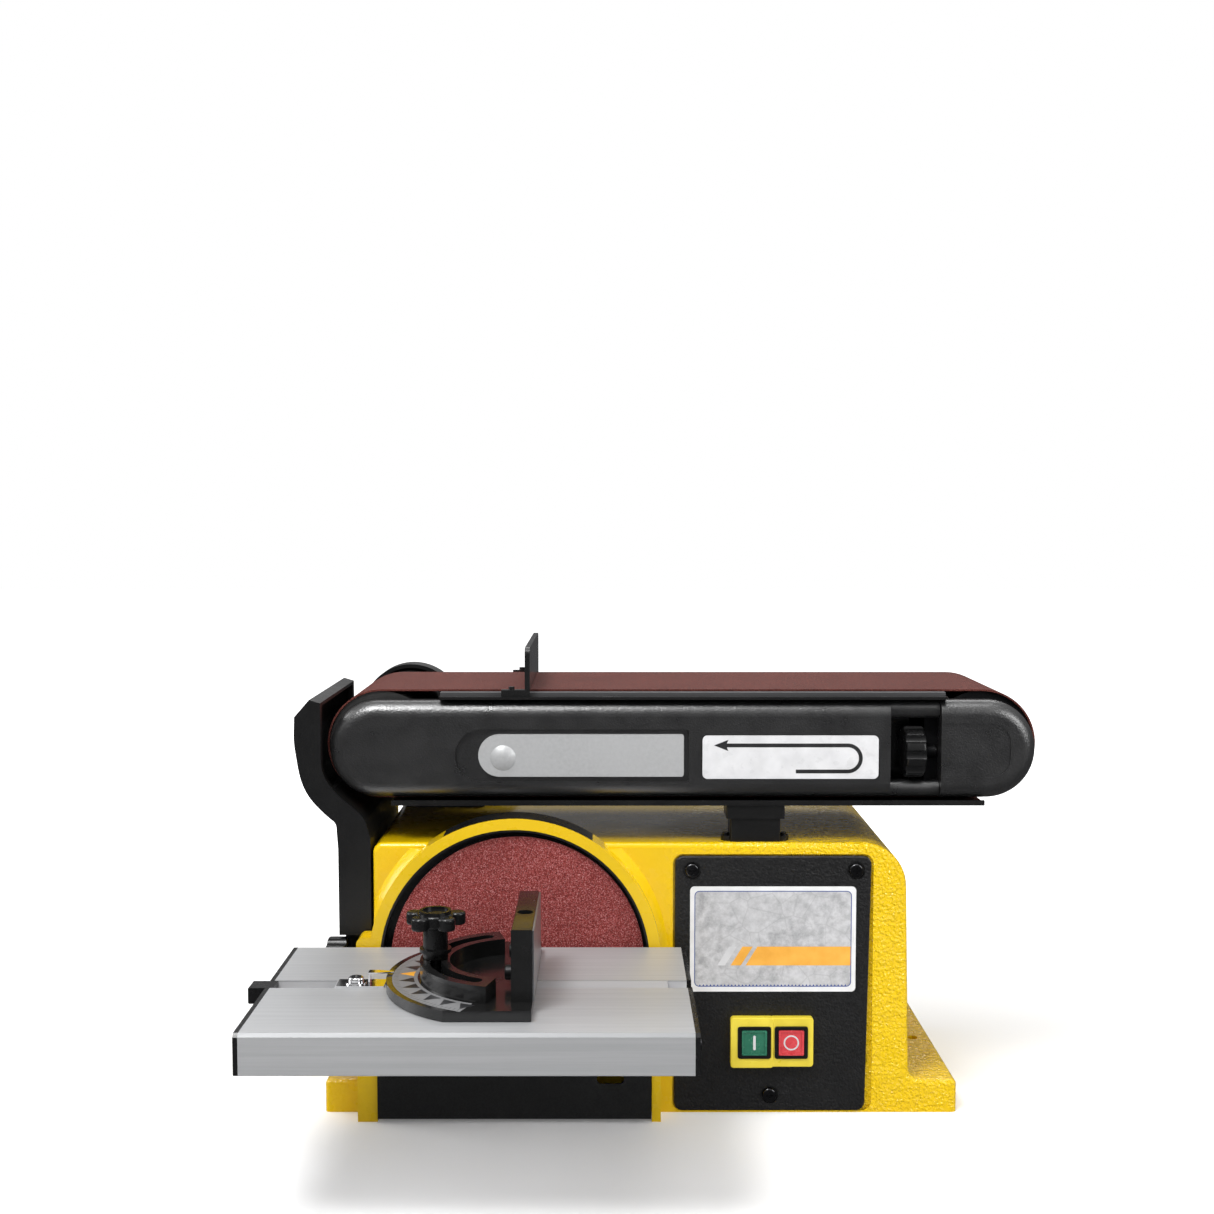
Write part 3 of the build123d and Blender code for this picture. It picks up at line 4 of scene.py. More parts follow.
import bmesh
import bpy
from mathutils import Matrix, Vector


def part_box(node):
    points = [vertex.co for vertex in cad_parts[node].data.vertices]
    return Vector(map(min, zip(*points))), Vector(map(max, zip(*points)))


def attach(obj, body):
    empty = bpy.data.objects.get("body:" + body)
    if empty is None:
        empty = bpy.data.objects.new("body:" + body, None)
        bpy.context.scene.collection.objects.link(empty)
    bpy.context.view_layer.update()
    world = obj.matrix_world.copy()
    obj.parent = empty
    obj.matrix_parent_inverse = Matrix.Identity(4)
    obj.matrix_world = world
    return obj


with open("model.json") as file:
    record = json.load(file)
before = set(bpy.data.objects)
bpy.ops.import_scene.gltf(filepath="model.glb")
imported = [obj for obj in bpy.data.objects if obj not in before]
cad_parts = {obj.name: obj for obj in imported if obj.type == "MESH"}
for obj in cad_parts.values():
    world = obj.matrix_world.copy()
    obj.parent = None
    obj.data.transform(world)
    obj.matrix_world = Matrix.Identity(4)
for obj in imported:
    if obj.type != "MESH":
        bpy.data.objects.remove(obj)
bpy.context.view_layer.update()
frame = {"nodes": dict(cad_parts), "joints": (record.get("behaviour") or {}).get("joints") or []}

MM = 0.001
NODES = frame["nodes"]
CREASE_ANGLE = math.radians(32)
PRINT_LIFT = 0.03         # how far a printed layer stands off its plate, in millimetres


# ---- Shader helpers ----
class Shader:
    """A Principled material that is built one node at a time, in row-frame coordinates."""

    def __init__(self, name, **sockets):
        self.mat = bpy.data.materials.new(name)
        self.mat.use_nodes = True
        self.tree = self.mat.node_tree
        self.tree.nodes.clear()
        self.out = self.tree.nodes.new("ShaderNodeOutputMaterial")
        self.bsdf = self.tree.nodes.new("ShaderNodeBsdfPrincipled")
        self.tree.links.new(self.bsdf.outputs[0], self.out.inputs[0])
        self.coord = self.tree.nodes.new("ShaderNodeTexCoord").outputs["Object"]
        for key, value in sockets.items():
            self.bsdf.inputs[key.replace("_", " ")].default_value = value

    def add(self, kind, **inputs):
        """New node of a kind; inputs by socket name, as values or as links."""
        node = self.tree.nodes.new("ShaderNode" + kind)
        for key, value in inputs.items():
            self.put(node.inputs[key.replace("_", " ")], value)
        return node

    def put(self, socket, value):
        """Sets a socket to a value or links it to an output."""
        if isinstance(value, bpy.types.NodeSocket):
            self.tree.links.new(value, socket)
        else:
            socket.default_value = value

    def scaled(self, stretch):
        """Row-frame coordinates stretched along the axes."""
        return self.add("Mapping", Vector=self.coord, Scale=stretch).outputs[0]

    def noise(self, scale, detail=3.0, roughness=0.55, stretch=(1, 1, 1)):
        """Noise value from 0 to 1."""
        place = self.scaled(stretch)
        node = self.add("TexNoise", Vector=place, Scale=scale, Detail=detail, Roughness=roughness)
        return node.outputs["Fac"]

    def cells(self, scale, feature="F1"):
        """Voronoi distance."""
        node = self.add("TexVoronoi", Vector=self.coord, Scale=scale)
        node.feature = feature
        return node.outputs["Distance"]

    def ramp(self, factor, *stops):
        """Colour ramp from (place, colour) stops."""
        node = self.add("ValToRGB", Fac=factor)
        elements = node.color_ramp.elements
        while len(elements) < len(stops):
            elements.new(0.5)
        for element, (place, colour) in zip(elements, stops):
            element.position = place
            element.color = (*colour, 1.0)
        return node.outputs["Color"]

    def remap(self, value, low, high, to_low, to_high):
        """Value moved from one range to another, held inside it."""
        node = self.add("MapRange", Value=value, From_Min=low, From_Max=high, To_Min=to_low, To_Max=to_high)
        return node.outputs[0]

    def math(self, operation, a, b=0.5):
        """One maths step."""
        node = self.tree.nodes.new("ShaderNodeMath")
        node.operation = operation
        self.put(node.inputs[0], a)
        self.put(node.inputs[1], b)
        return node.outputs[0]

    def mix(self, factor, a, b):
        """Blend of two colours."""
        node = self.tree.nodes.new("ShaderNodeMix")
        node.data_type = "RGBA"
        self.put(node.inputs[0], factor)
        for socket, value in ((node.inputs[6], a), (node.inputs[7], b)):
            self.put(socket, (*value, 1.0) if isinstance(value, tuple) else value)
        return node.outputs[2]

    def axis(self, index):
        """One of the row-frame coordinates, in metres."""
        return self.add("SeparateXYZ", Vector=self.coord).outputs[index]

    def bump(self, height, strength, distance):
        """Adds a bump on top of the ones before it."""
        node = self.add("Bump", Height=height)
        self.put(node.inputs["Strength"], strength)
        node.inputs["Distance"].default_value = distance
        if self.bsdf.inputs["Normal"].is_linked:
            self.put(node.inputs["Normal"], self.bsdf.inputs["Normal"].links[0].from_socket)
        self.put(self.bsdf.inputs["Normal"], node.outputs[0])
        self.put(self.bsdf.inputs["Coat Normal"], node.outputs[0])

    def colour(self, value):
        """Base colour, as an output or a value."""
        self.put(self.bsdf.inputs["Base Color"], value)

    def rough(self, value):
        """Roughness, as an output or a value."""
        self.put(self.bsdf.inputs["Roughness"], value)


# ---- Materials ----
def hammered_paint():
    """Glossy yellow paint, nearly smooth round the disc and strongly orange-peeled away from it."""
    (left, _, _), (right, _, _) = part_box("sanding_disc")
    smooth_to, rough_from = 0.08, 0.20      # distances from the disc's centre, along X
    s = Shader("hammered_yellow", Coat_Weight=0.7, Coat_Roughness=0.05, Coat_IOR=1.5, IOR=1.35)
    tint = s.noise(7.0, 4.0)
    s.colour(s.ramp(tint, (0.25, (0.76, 0.485, 0.001)), (0.75, (0.83, 0.55, 0.002))))
    s.rough(s.remap(s.noise(60.0), 0.3, 0.7, 0.22, 0.34))
    peel = s.remap(s.noise(520.0, 1.0, 0.35), 0.40, 0.64, 0.0, 1.0)
    blobs = s.remap(s.noise(200.0, 2.0, 0.5), 0.35, 0.65, 0.0, 1.0)
    from_disc = s.math("ABSOLUTE", s.math("SUBTRACT", s.axis(0), (left + right) / 2))
    strength = s.remap(from_disc, smooth_to, rough_from, 0.05, 1.0)
    s.bump(peel, strength, 0.0006)
    s.bump(blobs, s.math("MULTIPLY", strength, 0.5), 0.0009)
    return s.mat


def moulded_black(name, shade, rough, grain, depth, ior=1.48):
    """Black moulded plastic with a fine leathery grain."""
    s = Shader(name, IOR=ior)
    leather = s.noise(grain, 2.0)
    low, high = shade * 0.7, shade * 1.6
    fine = s.ramp(leather, (0.35, (low, low, low * 1.05)), (0.65, (high, high, high * 1.04)))
    s.colour(s.mix(s.remap(s.noise(18.0, 5.0), 0.3, 0.7, 0.0, 0.35), fine, (low, low, low)))
    s.rough(s.remap(s.noise(70.0), 0.3, 0.7, rough - 0.06, rough + 0.08))
    s.bump(s.remap(leather, 0.35, 0.65, 0.0, 1.0), depth, 0.00018)
    s.bump(s.cells(grain * 0.55), depth * 0.5, 0.0005)
    return s.mat


def glossy_black(name, shade, rough):
    """Enamelled black metal with slight waviness."""
    s = Shader(name, Coat_Weight=0.25, Coat_Roughness=0.12)
    pale = shade * 1.8
    s.colour(s.ramp(s.noise(25.0, 4.0), (0.3, (shade, shade, shade)), (0.7, (pale, pale, pale))))
    s.rough(s.remap(s.noise(90.0), 0.3, 0.7, rough - 0.04, rough + 0.08))
    s.bump(s.noise(240.0, 3.0), 0.10, 0.0006)
    return s.mat


def brushed_metal(name, colour, rough, stretch, metallic, lines):
    """Metal with fine grain, drawn out into lines where the stretch differs between the axes."""
    s = Shader(name, Metallic=metallic)
    grain = s.noise(8.0, 6.0, 0.65, stretch)
    blotch = s.noise(14.0, 3.0)
    dark = tuple(0.86 * c for c in colour)
    s.colour(s.mix(s.remap(blotch, 0.35, 0.65, 0.0, 0.5), s.ramp(grain, (0.3, dark), (0.7, colour)), colour))
    s.rough(s.remap(grain, 0.3, 0.7, rough - 0.05, rough + 0.07))
    s.bump(grain, lines, 0.0004)
    return s.mat


def table_metal():
    """Ground aluminium with lines along X, painted shade on the front bevel that dims its highlight, and a
    duller slot below the working face.
    """
    # The faces blend into the bevel and the slot over a few tenths of a millimetre.
    s = Shader("table_aluminium")
    grain = s.noise(8.0, 6.0, 0.65, (3, 330, 330))
    streaks = s.noise(5.0, 4.0, 0.6, (1, 60, 60))
    (_, near, _), (_, _, top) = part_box("table_top")
    face = s.remap(s.axis(2), top - 0.0009, top - 0.0004, 0.0, 1.0)
    front = s.remap(s.axis(1), near + 0.002, near + 0.003, 1.0, 0.0)
    open_face = s.math("MAXIMUM", face, front)
    pale = s.ramp(streaks, (0.35, (0.45, 0.455, 0.465)), (0.65, (0.51, 0.515, 0.525)))
    lined = s.mix(s.remap(grain, 0.3, 0.7, 0.0, 0.22), pale, (0.38, 0.385, 0.39))
    # Painted shade: the front top bevel is coloured darker so that its bright highlight is dimmed.
    bevel = s.math("MULTIPLY", s.remap(s.axis(2), top - 0.0021, top - 0.0017, 0.0, 1.0),
                   s.remap(s.axis(1), near + 0.0017, near + 0.0021, 1.0, 0.0))
    shaded_bevel = s.mix(bevel, lined, (0.27, 0.275, 0.28))
    s.colour(s.mix(open_face, (0.50, 0.50, 0.51), shaded_bevel))
    s.put(s.bsdf.inputs["Metallic"], s.remap(open_face, 0.0, 1.0, 0.0, 0.5))
    s.rough(s.math("ADD", s.remap(grain, 0.3, 0.7, -0.04, 0.06), s.remap(open_face, 0.0, 1.0, 0.8, 0.5)))
    s.bump(grain, 0.12, 0.0004)
    return s.mat


def fence_metal():
    """Drawn steel strip, with blackened screws on the far side of the fence."""
    s = Shader("fence_steel", Metallic=0.9)
    _, (right, _, _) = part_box("fence_face")
    grain = s.noise(8.0, 6.0, 0.65, (200, 3, 200))
    strip = s.remap(s.axis(0), right - 0.0012, right - 0.0009, 0.0, 1.0)
    drawn = s.ramp(grain, (0.3, (0.26, 0.26, 0.27)), (0.7, (0.36, 0.36, 0.37)))
    s.colour(s.mix(strip, (0.03, 0.03, 0.031), drawn))
    s.rough(s.remap(grain, 0.3, 0.7, 0.3, 0.42))
    return s.mat


def turned_metal(name, colour, rough):
    """Plain turned or cast metal with small pits."""
    s = Shader(name, Metallic=1.0)
    dark = tuple(0.75 * c for c in colour)
    s.colour(s.ramp(s.noise(120.0, 5.0), (0.3, dark), (0.65, colour)))
    s.rough(s.remap(s.noise(300.0), 0.3, 0.7, rough - 0.05, rough + 0.1))
    s.bump(s.noise(900.0, 3.0), 0.15, 0.0003)
    return s.mat


def abrasive(name, dark, body, light, pale, grit):
    """Grit bonded on cloth: dense grains over the grit's own mottled tone, with painted shade darkening the
    bump's hollows and painted highlight paling its tops and grain facets.
    """
    s = Shader(name, IOR=1.5, Specular_IOR_Level=0.22)
    fine = s.noise(grit, 2.0, 0.75)
    # Painted shade and painted highlight: this noise also drives the bump, so the colour darkens in the
    # hollows and pales on the tops.
    ground = s.ramp(fine, (0.36, dark), (0.48, body), (0.58, light), (0.70, pale))
    grain = s.add("TexVoronoi", Vector=s.coord, Scale=grit * 1.1)
    pick = s.add("SeparateColor", Color=grain.outputs["Color"]).outputs[0]
    middle = s.remap(grain.outputs["Distance"], 0.2, 0.5, 1.0, 0.0)
    # Painted glints: pale spots at the middles of random grains.
    facet_glint = s.math("MULTIPLY", s.remap(pick, 0.55, 0.95, 0.0, 0.5), middle)
    patches = s.remap(s.noise(30.0, 3.0), 0.3, 0.7, 0.0, 0.22)
    s.colour(s.mix(facet_glint, s.mix(patches, ground, dark), pale))
    s.rough(s.remap(fine, 0.3, 0.7, 0.6, 0.85))
    s.bump(fine, 0.9, 0.0005)
    s.bump(grain.outputs["Distance"], 0.6, 0.0004)
    return s.mat


def rubber():
    """Dull black rubber."""
    s = Shader("rubber", Roughness=0.8)
    s.colour(s.ramp(s.noise(60.0, 4.0), (0.3, (0.015, 0.015, 0.015)), (0.7, (0.035, 0.034, 0.033))))
    s.bump(s.noise(800.0), 0.3, 0.0004)
    return s.mat


def moulded_colour(name, low, high, rough):
    """Coloured moulding with faint flow marks."""
    s = Shader(name, IOR=1.49, Coat_Weight=0.2, Coat_Roughness=0.1)
    s.colour(s.ramp(s.noise(90.0, 3.0), (0.3, low), (0.7, high)))
    s.rough(s.remap(s.noise(200.0), 0.3, 0.7, rough - 0.05, rough + 0.06))
    s.bump(s.noise(700.0), 0.06, 0.0003)
    return s.mat


def printed_film(name, low, high, rough):
    """Printed film with a mottled stone pattern."""
    s = Shader(name, Coat_Weight=0.3, Coat_Roughness=0.15)
    stone = s.noise(160.0, 9.0, 0.75)
    clouds = s.noise(36.0, 6.0, 0.65)
    veins = s.remap(s.cells(70.0, "DISTANCE_TO_EDGE"), 0.0, 0.03, 0.0, 1.0)
    body = s.mix(s.remap(clouds, 0.3, 0.7, 0.0, 0.6), s.ramp(stone, (0.35, low), (0.62, high)), high)
    s.colour(s.mix(s.remap(clouds, 0.42, 0.5, 0.0, 0.35), body, s.mix(veins, low, body)))
    s.rough(s.remap(stone, 0.3, 0.7, rough, rough + 0.1))
    s.bump(s.noise(1500.0), 0.03, 0.0002)
    return s.mat


def copper():
    """Varnished copper wire, wound round the stator."""
    s = Shader("copper_winding", Metallic=0.9)
    turns = s.noise(200.0, 3.0, 0.6, (1, 6, 1))
    s.colour(s.ramp(turns, (0.3, (0.35, 0.12, 0.04)), (0.7, (0.75, 0.33, 0.13))))
    s.rough(s.remap(s.noise(80.0), 0.3, 0.7, 0.3, 0.45))
    s.bump(s.noise(500.0, 2.0, 0.5, (1, 5, 1)), 0.5, 0.0008)
    return s.mat


def make_materials():
    """Every finish of the object, by name."""
    return {
        "paint": hammered_paint(),
        "arm_black": moulded_black("arm_black", 0.008, 0.32, 1300.0, 0.28, ior=2.1),
        "panel_black": moulded_black("panel_black", 0.010, 0.40, 800.0, 1.0),
        "hood_black": moulded_black("hood_black", 0.006, 0.34, 2400.0, 0.12),
        "knob_black": moulded_black("knob_black", 0.006, 0.24, 2600.0, 0.06),
        "enamel": glossy_black("enamel", 0.006, 0.2),
        "guard_black": moulded_black("guard_black", 0.008, 0.5, 900.0, 0.2),
        "screw_black": brushed_metal("screw_black", (0.07, 0.07, 0.073), 0.22, (40, 40, 40), 1.0, 0.05),
        "table": table_metal(),
        "fence": fence_metal(),
        "steel": brushed_metal("zinc_steel", (0.74, 0.74, 0.75), 0.22, (30, 30, 30), 1.0, 0.05),
        "bar_steel": brushed_metal("bar_steel", (0.42, 0.42, 0.43), 0.62, (3, 200, 200), 0.25, 0.1),
        "scale_grey": brushed_metal("scale_grey", (0.24, 0.24, 0.245), 0.5, (60, 60, 60), 0.3, 0.05),
        "graphite": brushed_metal("graphite", (0.13, 0.13, 0.135), 0.45, (3, 200, 200), 0.6, 0.08),
        "bright": brushed_metal("polished_steel", (0.85, 0.85, 0.86), 0.12, (60, 60, 60), 1.0, 0.03),
        "silver": brushed_metal("satin_silver", (0.50, 0.505, 0.51), 0.44, (60, 60, 60), 0.35, 0.10),
        "cast": turned_metal("cast_aluminium", (0.62, 0.62, 0.63), 0.42),
        # Near black, the same darkness as the gap between the belt and the end cap where the idler sits.
        "near_black_metal": turned_metal("near_black_metal", (0.035, 0.035, 0.037), 0.5),
        "copper": copper(),
        "disc_paper": abrasive("disc_abrasive", (0.100, 0.013, 0.012), (0.265, 0.040, 0.037),
                               (0.42, 0.079, 0.073), (0.68, 0.35, 0.34), 1450.0),
        "belt": abrasive("belt_abrasive", (0.030, 0.006, 0.004), (0.085, 0.017, 0.012),
                         (0.150, 0.036, 0.026), (0.28, 0.11, 0.09), 1500.0),
        "rubber": rubber(),
        "switch_yellow": moulded_colour("switch_yellow", (0.72, 0.56, 0.03), (0.82, 0.66, 0.05), 0.32),
        "green": moulded_colour("button_green", (0.018, 0.13, 0.078), (0.028, 0.17, 0.10), 0.25),
        "red": moulded_colour("button_red", (0.56, 0.04, 0.05), (0.66, 0.06, 0.07), 0.25),
        "white": moulded_colour("print_white", (0.70, 0.70, 0.70), (0.80, 0.80, 0.80), 0.4),
        "print_black": moulded_colour("print_black", (0.012, 0.012, 0.013), (0.02, 0.02, 0.022), 0.45),
        "print_orange": moulded_colour("print_orange", (0.80, 0.36, 0.03), (0.92, 0.46, 0.06), 0.4),
        "print_blue": moulded_colour("print_blue", (0.025, 0.055, 0.24), (0.04, 0.08, 0.31), 0.4),
        "print_pale": moulded_colour("print_pale", (0.55, 0.55, 0.56), (0.64, 0.64, 0.65), 0.4),
        "decal_film": moulded_colour("decal_film", (0.006, 0.006, 0.007), (0.012, 0.012, 0.013), 0.3),
        "print_grey": printed_film("print_grey", (0.27, 0.27, 0.28), (0.58, 0.58, 0.59), 0.35),
        "label_silver": moulded_colour("label_silver", (0.56, 0.56, 0.57), (0.66, 0.66, 0.67), 0.3),
    }


FINISH = {
    "paint": ("base_casting",),
    "arm_black": ("front_cover", "end_cap"),
    "panel_black": ("control_panel",),
    "hood_black": ("dust_hood", "dust_port", "belt_cover", "switch_bezels", "switch_body", "rest_post",
                   "cord_gland", "capacitor", "cooling_fan"),
    "knob_black": ("tracking_knob", "table_lock_knob", "miter_knob", "table_end_caps"),
    "enamel": ("miter_head", "miter_fence", "arm_frame", "lower_tray", "tension_lever", "work_stop",
               "pedestal"),
    "guard_black": ("disc_guard", "bottom_plate", "motor_shell", "table_brackets"),
    "screw_black": ("base_fasteners", "table_screws"),
    "table": ("table_top",),
    "bar_steel": ("miter_bar",),
    "scale_grey": ("miter_scale",),
    "graphite": ("platen",),
    "steel": ("motor_shaft", "drum_shaft", "shaft_bearings", "tension_spring", "button_springs"),
    "fence": ("fence_face",),
    "bright": ("miter_pointer",),
    "silver": ("inlay_panel",),
    "cast": ("sanding_disc", "motor_end_bells", "motor_rotor", "motor_pulley", "drum_pulley",
             "carriage_guide"),
    # Idler roller and carriage coloured near black, as dark as the gap between the belt and the end cap.
    "near_black_metal": ("idler_roller", "idler_carriage"),
    "copper": ("motor_stator",),
    "disc_paper": ("disc_paper",),
    "belt": ("sanding_belt",),
    "rubber": ("drive_drum", "drive_belt"),
    "switch_yellow": ("switch_frame",),
    "green": ("start_button",),
    "red": ("stop_button",),
    "white": ("nameplate",),
    "label_silver": ("direction_label",),
}
MATERIALS = make_materials()


def finish_cad_nodes():
    """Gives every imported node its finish, with smooth shading up to a crease angle."""
    for finish, names in FINISH.items():
        for name in names:
            mesh = NODES[name].data
            mesh.materials.clear()
            mesh.materials.append(MATERIALS[finish])
            mesh.polygons.foreach_set("use_smooth", [True] * len(mesh.polygons))
            mesh.set_sharp_from_angle(angle=CREASE_ANGLE)


finish_cad_nodes()


# ---- Printed and fine pieces, in millimetres ----
def add_piece(name, mesh, body, thickness=0.0, grow=-1):
    """Puts a mesh in the scene on its body, thickened inwards (grow -1) or outwards (grow 1)."""
    piece = bpy.data.objects.new(name, mesh)
    bpy.context.scene.collection.objects.link(piece)
    if thickness:
        solid = piece.modifiers.new("thickness", "SOLIDIFY")
        solid.thickness = thickness * MM
        solid.offset = grow
    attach(piece, body)


def plate_mesh(name, outlines, body, depth=0.0, facing="-Y"):
    """Thin printed layer: each outline is (points, material, level), a flat polygon in X and Z or X and Y."""
    bm = bmesh.new()
    mats = []
    outward = Vector((0, -1, 0)) if facing == "-Y" else Vector((0, 0, 1))
    for points, finish, level in outlines:
        if finish not in mats:
            mats.append(finish)
        if facing == "-Y":
            corners = [bm.verts.new((x * MM, level * MM, z * MM)) for x, z in points]
        else:
            corners = [bm.verts.new((x * MM, y * MM, level * MM)) for x, y in points]
        face = bm.faces.new(corners)
        face.normal_update()
        if face.normal.dot(outward) < 0:
            face.normal_flip()
        face.material_index = mats.index(finish)
    mesh = bpy.data.meshes.new(name)
    bm.to_mesh(mesh)
    bm.free()
    for finish in mats:
        mesh.materials.append(MATERIALS[finish])
    add_piece(name, mesh, body, depth)


def arc_points(x, z, radius, start, end, steps=24):
    """Points along a circular arc, angles in degrees."""
    turns = [math.radians(start + (end - start) * i / steps) for i in range(steps + 1)]
    return [(x + radius * math.cos(t), z + radius * math.sin(t)) for t in turns]


def bar_points(x0, x1, z, half):
    """Outline of a straight bar along X, with its half width."""
    return (x0, z - half), (x1, z - half), (x1, z + half), (x0, z + half)


def leaning_bar(left, right, low, high, lean):
    """Outline of a bar whose top is moved sideways by the lean."""
    return (left, low), (right, low), (right + lean, high), (left + lean, high)


def round_box(x0, x1, z0, z1, radius):
    """Rounded rectangle outline."""
    corners = ((x1 - radius, z0 + radius, -90), (x1 - radius, z1 - radius, 0),
               (x0 + radius, z1 - radius, 90), (x0 + radius, z0 + radius, 180))
    return [p for x, z, turn in corners for p in arc_points(x, z, radius, turn, turn + 90, 8)]


def frame_strips(x0, x1, z0, z1, radius, width):
    """A rounded rectangular line as quads between two outlines."""
    outer = round_box(x0, x1, z0, z1, radius)
    inner = round_box(x0 + width, x1 - width, z0 + width, z1 - width, radius - width)
    count = len(outer)
    return [(outer[i], outer[(i + 1) % count], inner[(i + 1) % count], inner[i]) for i in range(count)]


def band_strips(inner, outer):
    """Quads between two point rows of the same length."""
    return [(inner[i], inner[i + 1], outer[i + 1], outer[i]) for i in range(len(inner) - 1)]


def box_mm(node):
    """A node's box in millimetres: (x0, y0, z0), (x1, y1, z1)."""
    low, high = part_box(node)
    return [v / MM for v in low], [v / MM for v in high]


def nameplate_print():
    """Printed face of the nameplate: border, stone field, orange band, two stripes and a row of teeth."""
    (x0, y0, z0), (x1, _, z1) = box_mm("nameplate")
    width, height = x1 - x0, z1 - z0
    face = y0 - PRINT_LIFT
    over, top = face - PRINT_LIFT, face - 0.05
    field = (x0 + 2.6, x1 - 2.6, z0 + 3.0, z1 - 2.6, 3.0)
    shapes = [(round_box(*field), "print_grey", face)]
    shapes += [(quad, "print_blue", over) for quad in frame_strips(*field, 0.5)]
    low, high = z0 + 0.25 * height, z0 + 0.43 * height
    lean = 0.62 * (high - low)
    right, band_left = x1 - 3.1, x0 + 0.335 * width
    shapes.append((((band_left, low), (right, low), (right, high), (band_left + lean, high)),
                   "print_orange", over))
    for place, wide, finish in ((0.245, 6.2, "print_orange"), (0.165, 4.6, "print_pale")):
        left = x0 + place * width
        shapes.append((leaning_bar(left, left + wide, low, high, lean), finish, over))
    teeth, inset, half, root, tip = 42, 6.0, 0.7, z0 + 3.3, z0 + 4.6
    for i in range(teeth):
        x = x0 + inset + i * (width - 2 * inset) / (teeth - 1)
        shapes.append((((x - half, root), (x + half, root), (x, tip)), "print_blue", top))
    plate_mesh("nameplate_print", shapes, "base")


def direction_print():
    """U-shaped running direction arrow on the belt label."""
    (x0, y0, z0), (x1, _, z1) = box_mm("direction_label")
    width, height = x1 - x0, z1 - z0
    face = y0 - PRINT_LIFT
    top, low = z0 + 0.77 * height, z0 + 0.17 * height
    middle, radius, half = (top + low) / 2, (top - low) / 2, 1.15
    bend, tail = x1 - 10.6 - radius, x0 + 0.53 * width
    tip, neck, notch, barb = x0 + 6.8, x0 + 15.5, 1.6, 3.4
    head = (tip, top), (neck, top - barb), (neck - notch, top), (neck, top + barb)
    shapes = [(head, "print_black", face)]
    shapes.append((bar_points(neck - 2, bend, top, half), "print_black", face - 0.01))
    inner = arc_points(bend, middle, radius - half, 90, -90)
    outer = arc_points(bend, middle, radius + half, 90, -90)
    shapes += [(quad, "print_black", face) for quad in band_strips(inner, outer)]
    shapes.append((bar_points(tail, bend, low, half), "print_black", face))
    plate_mesh("direction_print", shapes, "belt_arm")


def button_marks():
    """Bar and ring, the usual on and off symbols."""
    dish, film = 0.5, 0.05                  # depth of the dished button face, and the print's thickness
    (x0, y0, z0), (x1, _, z1) = box_mm("start_button")
    x, z, face = (x0 + x1) / 2, (z0 + z1) / 2, y0 + dish - film
    bar = [(round_box(x - 0.75, x + 0.75, z - 4.4, z + 4.4, 0.6), "print_pale", face)]
    plate_mesh("start_mark", bar, "start_button", film)
    (x0, _, z0), (x1, _, z1) = box_mm("stop_button")
    x, z = (x0 + x1) / 2, (z0 + z1) / 2
    ring = band_strips(arc_points(x, z, 3.7, 0, 360, 48), arc_points(x, z, 4.6, 0, 360, 48))
    plate_mesh("stop_mark", [(quad, "print_pale", face) for quad in ring], "stop_button", film)


def scale_marks():
    """Degree triangles and tick lines of the mitre scale."""
    _, (_, _, top) = box_mm("miter_scale")
    pivot = next(j for j in frame["joints"] if j["name"] == "miter_swing")["pos_m"]
    cx, cy = pivot[0] / MM, pivot[1] / MM
    face = top + 0.02
    root, tip, half_root = 56.2, 64.6, 4.3              # triangles: radii, and half width in degrees
    tick_out, tick_in, tick_long, half = 67.2, 64.4, 62.8, 0.14
    shapes = []
    for step in range(-6, 7):
        turn = 180 + 11.0 * step
        finish = "print_orange" if step == 0 else "print_black"
        base = arc_points(cx, cy, root, turn - half_root, turn + half_root, 6)
        shapes.append((base + arc_points(cx, cy, tip, turn, turn, 1)[:1], finish, face))
    for step in range(-30, 31):
        turn = math.radians(180 + 2.2 * step)
        along = Vector((math.cos(turn), math.sin(turn)))
        across = Vector((-along.y, along.x)) * half
        near = along * (tick_in if step % 5 else tick_long)
        far = along * tick_out
        corners = near + across, far + across, far - across, near - across
        shapes.append(([(cx + c.x, cy + c.y) for c in corners], "print_black", face + 0.01))
    plate_mesh("scale_marks", shapes, "miter_head", facing="+Z")


def rim_decal():
    """Plain dark band stuck round the top of the disc ring."""
    (x0, y0, z0), (x1, _, z1) = box_mm("sanding_disc")
    _, (_, _, ring_top) = box_mm("base_casting")
    off_centre = 1.4                        # how far the ring stands off the disc's centre
    gap, film = 0.06, 0.12                  # the band's clearance and thickness
    before, behind = 4.4, 14.6              # its reach from the disc plate's face
    start, end, steps = 119, 58, 48         # its arc, in degrees
    ring_x, ring_z = (x0 + x1) / 2 - off_centre, (z0 + z1) / 2
    radius = ring_top - ring_z + gap
    near, far = y0 - before, y0 + behind
    bm = bmesh.new()
    rows = [[bm.verts.new((x * MM, y * MM, z * MM)) for y in (near, far)]
            for x, z in arc_points(ring_x, ring_z, radius, start, end, steps)]
    for a, b in zip(rows, rows[1:]):
        bm.faces.new((a[0], b[0], b[1], a[1]))
    bmesh.ops.recalc_face_normals(bm, faces=bm.faces)
    mesh = bpy.data.meshes.new("rim_decal")
    bm.to_mesh(mesh)
    bm.free()
    mesh.materials.append(MATERIALS["decal_film"])
    add_piece("rim_decal", mesh, "base", film, grow=1)


nameplate_print()
direction_print()
button_marks()
scale_marks()
rim_decal()


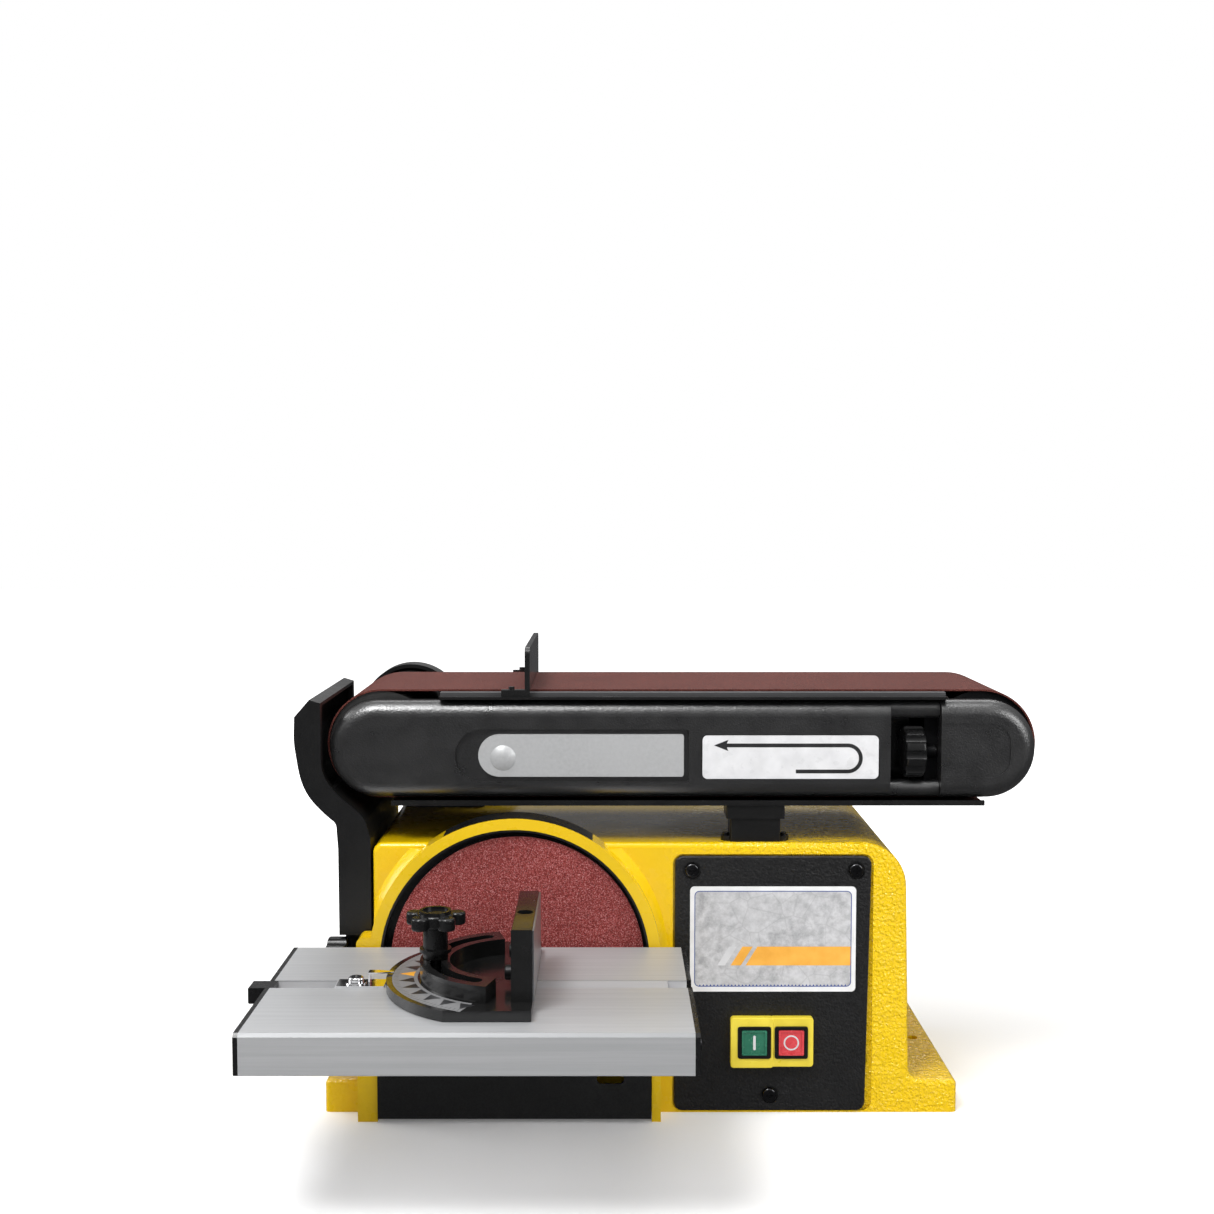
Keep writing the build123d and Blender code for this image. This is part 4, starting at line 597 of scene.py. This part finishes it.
# ---- Stage, camera and light ----
CAMERA_PLACE = (-0.022, -0.978, 0.3624)
CAMERA_PITCH = 3.6
SENSOR = 36.0
FOCAL_PER_WIDTH = 1.2603           # focal length over frame width
FLOOR_HALF = 6.0
WORLD_STRENGTH = 0.55
LIGHTS = (                         # name, place, target, size and power
    ("key", (-0.55, -0.85, 1.55), (0, 0, 0.12), (0.6, 0.5), 21),
    ("overhead", (0.05, -0.25, 1.3), (0.05, -0.1, 0.2), (1.1, 0.3), 4),
    ("fill", (1.5, -1.1, 0.9), (0.05, 0, 0.12), (0.9, 0.9), 12),
    ("back", (0.2, 1.4, 1.5), (0, 0, 0.15), (1.6, 0.7), 12),
    ("side", (-1.6, 0.2, 0.8), (0, 0, 0.12), (0.7, 0.9), 9),
)


def make_camera():
    """Camera at the eye point of the view, looking slightly down."""
    data = bpy.data.cameras.new("camera")
    data.sensor_width = SENSOR
    data.lens = SENSOR * FOCAL_PER_WIDTH
    camera = bpy.data.objects.new("camera", data)
    camera.location = CAMERA_PLACE
    camera.rotation_euler = (math.radians(90 - CAMERA_PITCH), 0, 0)
    bpy.context.scene.collection.objects.link(camera)
    bpy.context.scene.camera = camera


def area_light(name, place, target, size, power):
    """Soft rectangular light aimed at a point."""
    data = bpy.data.lights.new(name, "AREA")
    data.shape = "RECTANGLE"
    data.size, data.size_y = size
    data.energy = power
    light = bpy.data.objects.new(name, data)
    light.location = place
    light.rotation_euler = (Vector(target) - Vector(place)).to_track_quat("-Z", "Y").to_euler()
    bpy.context.scene.collection.objects.link(light)


def make_world():
    """White to the eye, and a dimmer studio with a bright ceiling as the light on the object."""
    world = bpy.data.worlds.new("studio")
    world.use_nodes = True
    tree = world.node_tree
    tree.nodes.clear()
    out = tree.nodes.new("ShaderNodeOutputWorld")
    white = tree.nodes.new("ShaderNodeBackground")
    white.inputs["Color"].default_value = (1, 1, 1, 1)
    white.inputs["Strength"].default_value = 1.0
    studio = tree.nodes.new("ShaderNodeBackground")
    studio.inputs["Strength"].default_value = WORLD_STRENGTH
    coord = tree.nodes.new("ShaderNodeTexCoord")
    split = tree.nodes.new("ShaderNodeSeparateXYZ")
    ramp = tree.nodes.new("ShaderNodeValToRGB")
    ramp.color_ramp.elements[0].position = 0.0
    ramp.color_ramp.elements[0].color = (0.16, 0.16, 0.165, 1)
    ramp.color_ramp.elements[1].position = 0.85
    ramp.color_ramp.elements[1].color = (1, 1, 1, 1)
    path = tree.nodes.new("ShaderNodeLightPath")
    blend = tree.nodes.new("ShaderNodeMixShader")
    links = tree.links
    links.new(coord.outputs["Generated"], split.inputs[0])
    links.new(split.outputs["Z"], ramp.inputs["Fac"])
    links.new(ramp.outputs["Color"], studio.inputs["Color"])
    links.new(path.outputs["Is Camera Ray"], blend.inputs["Fac"])
    links.new(studio.outputs[0], blend.inputs[1])
    links.new(white.outputs[0], blend.inputs[2])
    links.new(blend.outputs[0], out.inputs["Surface"])
    bpy.context.scene.world = world


def make_stage():
    """Pale floor that glows more the farther it is from the object, and soft studio lights."""
    mesh = bpy.data.meshes.new("floor")
    half = FLOOR_HALF
    corners = [(-half, -half, 0), (half, -half, 0), (half, half, 0), (-half, half, 0)]
    mesh.from_pydata(corners, [], [(0, 1, 2, 3)])
    floor = bpy.data.objects.new("floor", mesh)
    bpy.context.scene.collection.objects.link(floor)
    floor.visible_glossy = False
    s = Shader("floor_pale", Roughness=0.8, Emission_Color=(1, 1, 1, 1))
    square_x = s.math("MULTIPLY", s.axis(0), s.axis(0))
    square_y = s.math("MULTIPLY", s.axis(1), s.axis(1))
    reach = s.math("ADD", square_x, square_y)           # squared distance from the origin
    s.put(s.bsdf.inputs["Emission Strength"], s.remap(reach, 0.06, 0.6, 0.12, 0.85))
    s.colour(s.ramp(s.noise(0.8), (0.3, (0.88, 0.88, 0.88)), (0.7, (0.90, 0.90, 0.90))))
    mesh.materials.append(s.mat)
    make_world()
    bpy.context.scene.view_settings.view_transform = "Standard"
    for light in LIGHTS:
        area_light(*light)


make_camera()
make_stage()
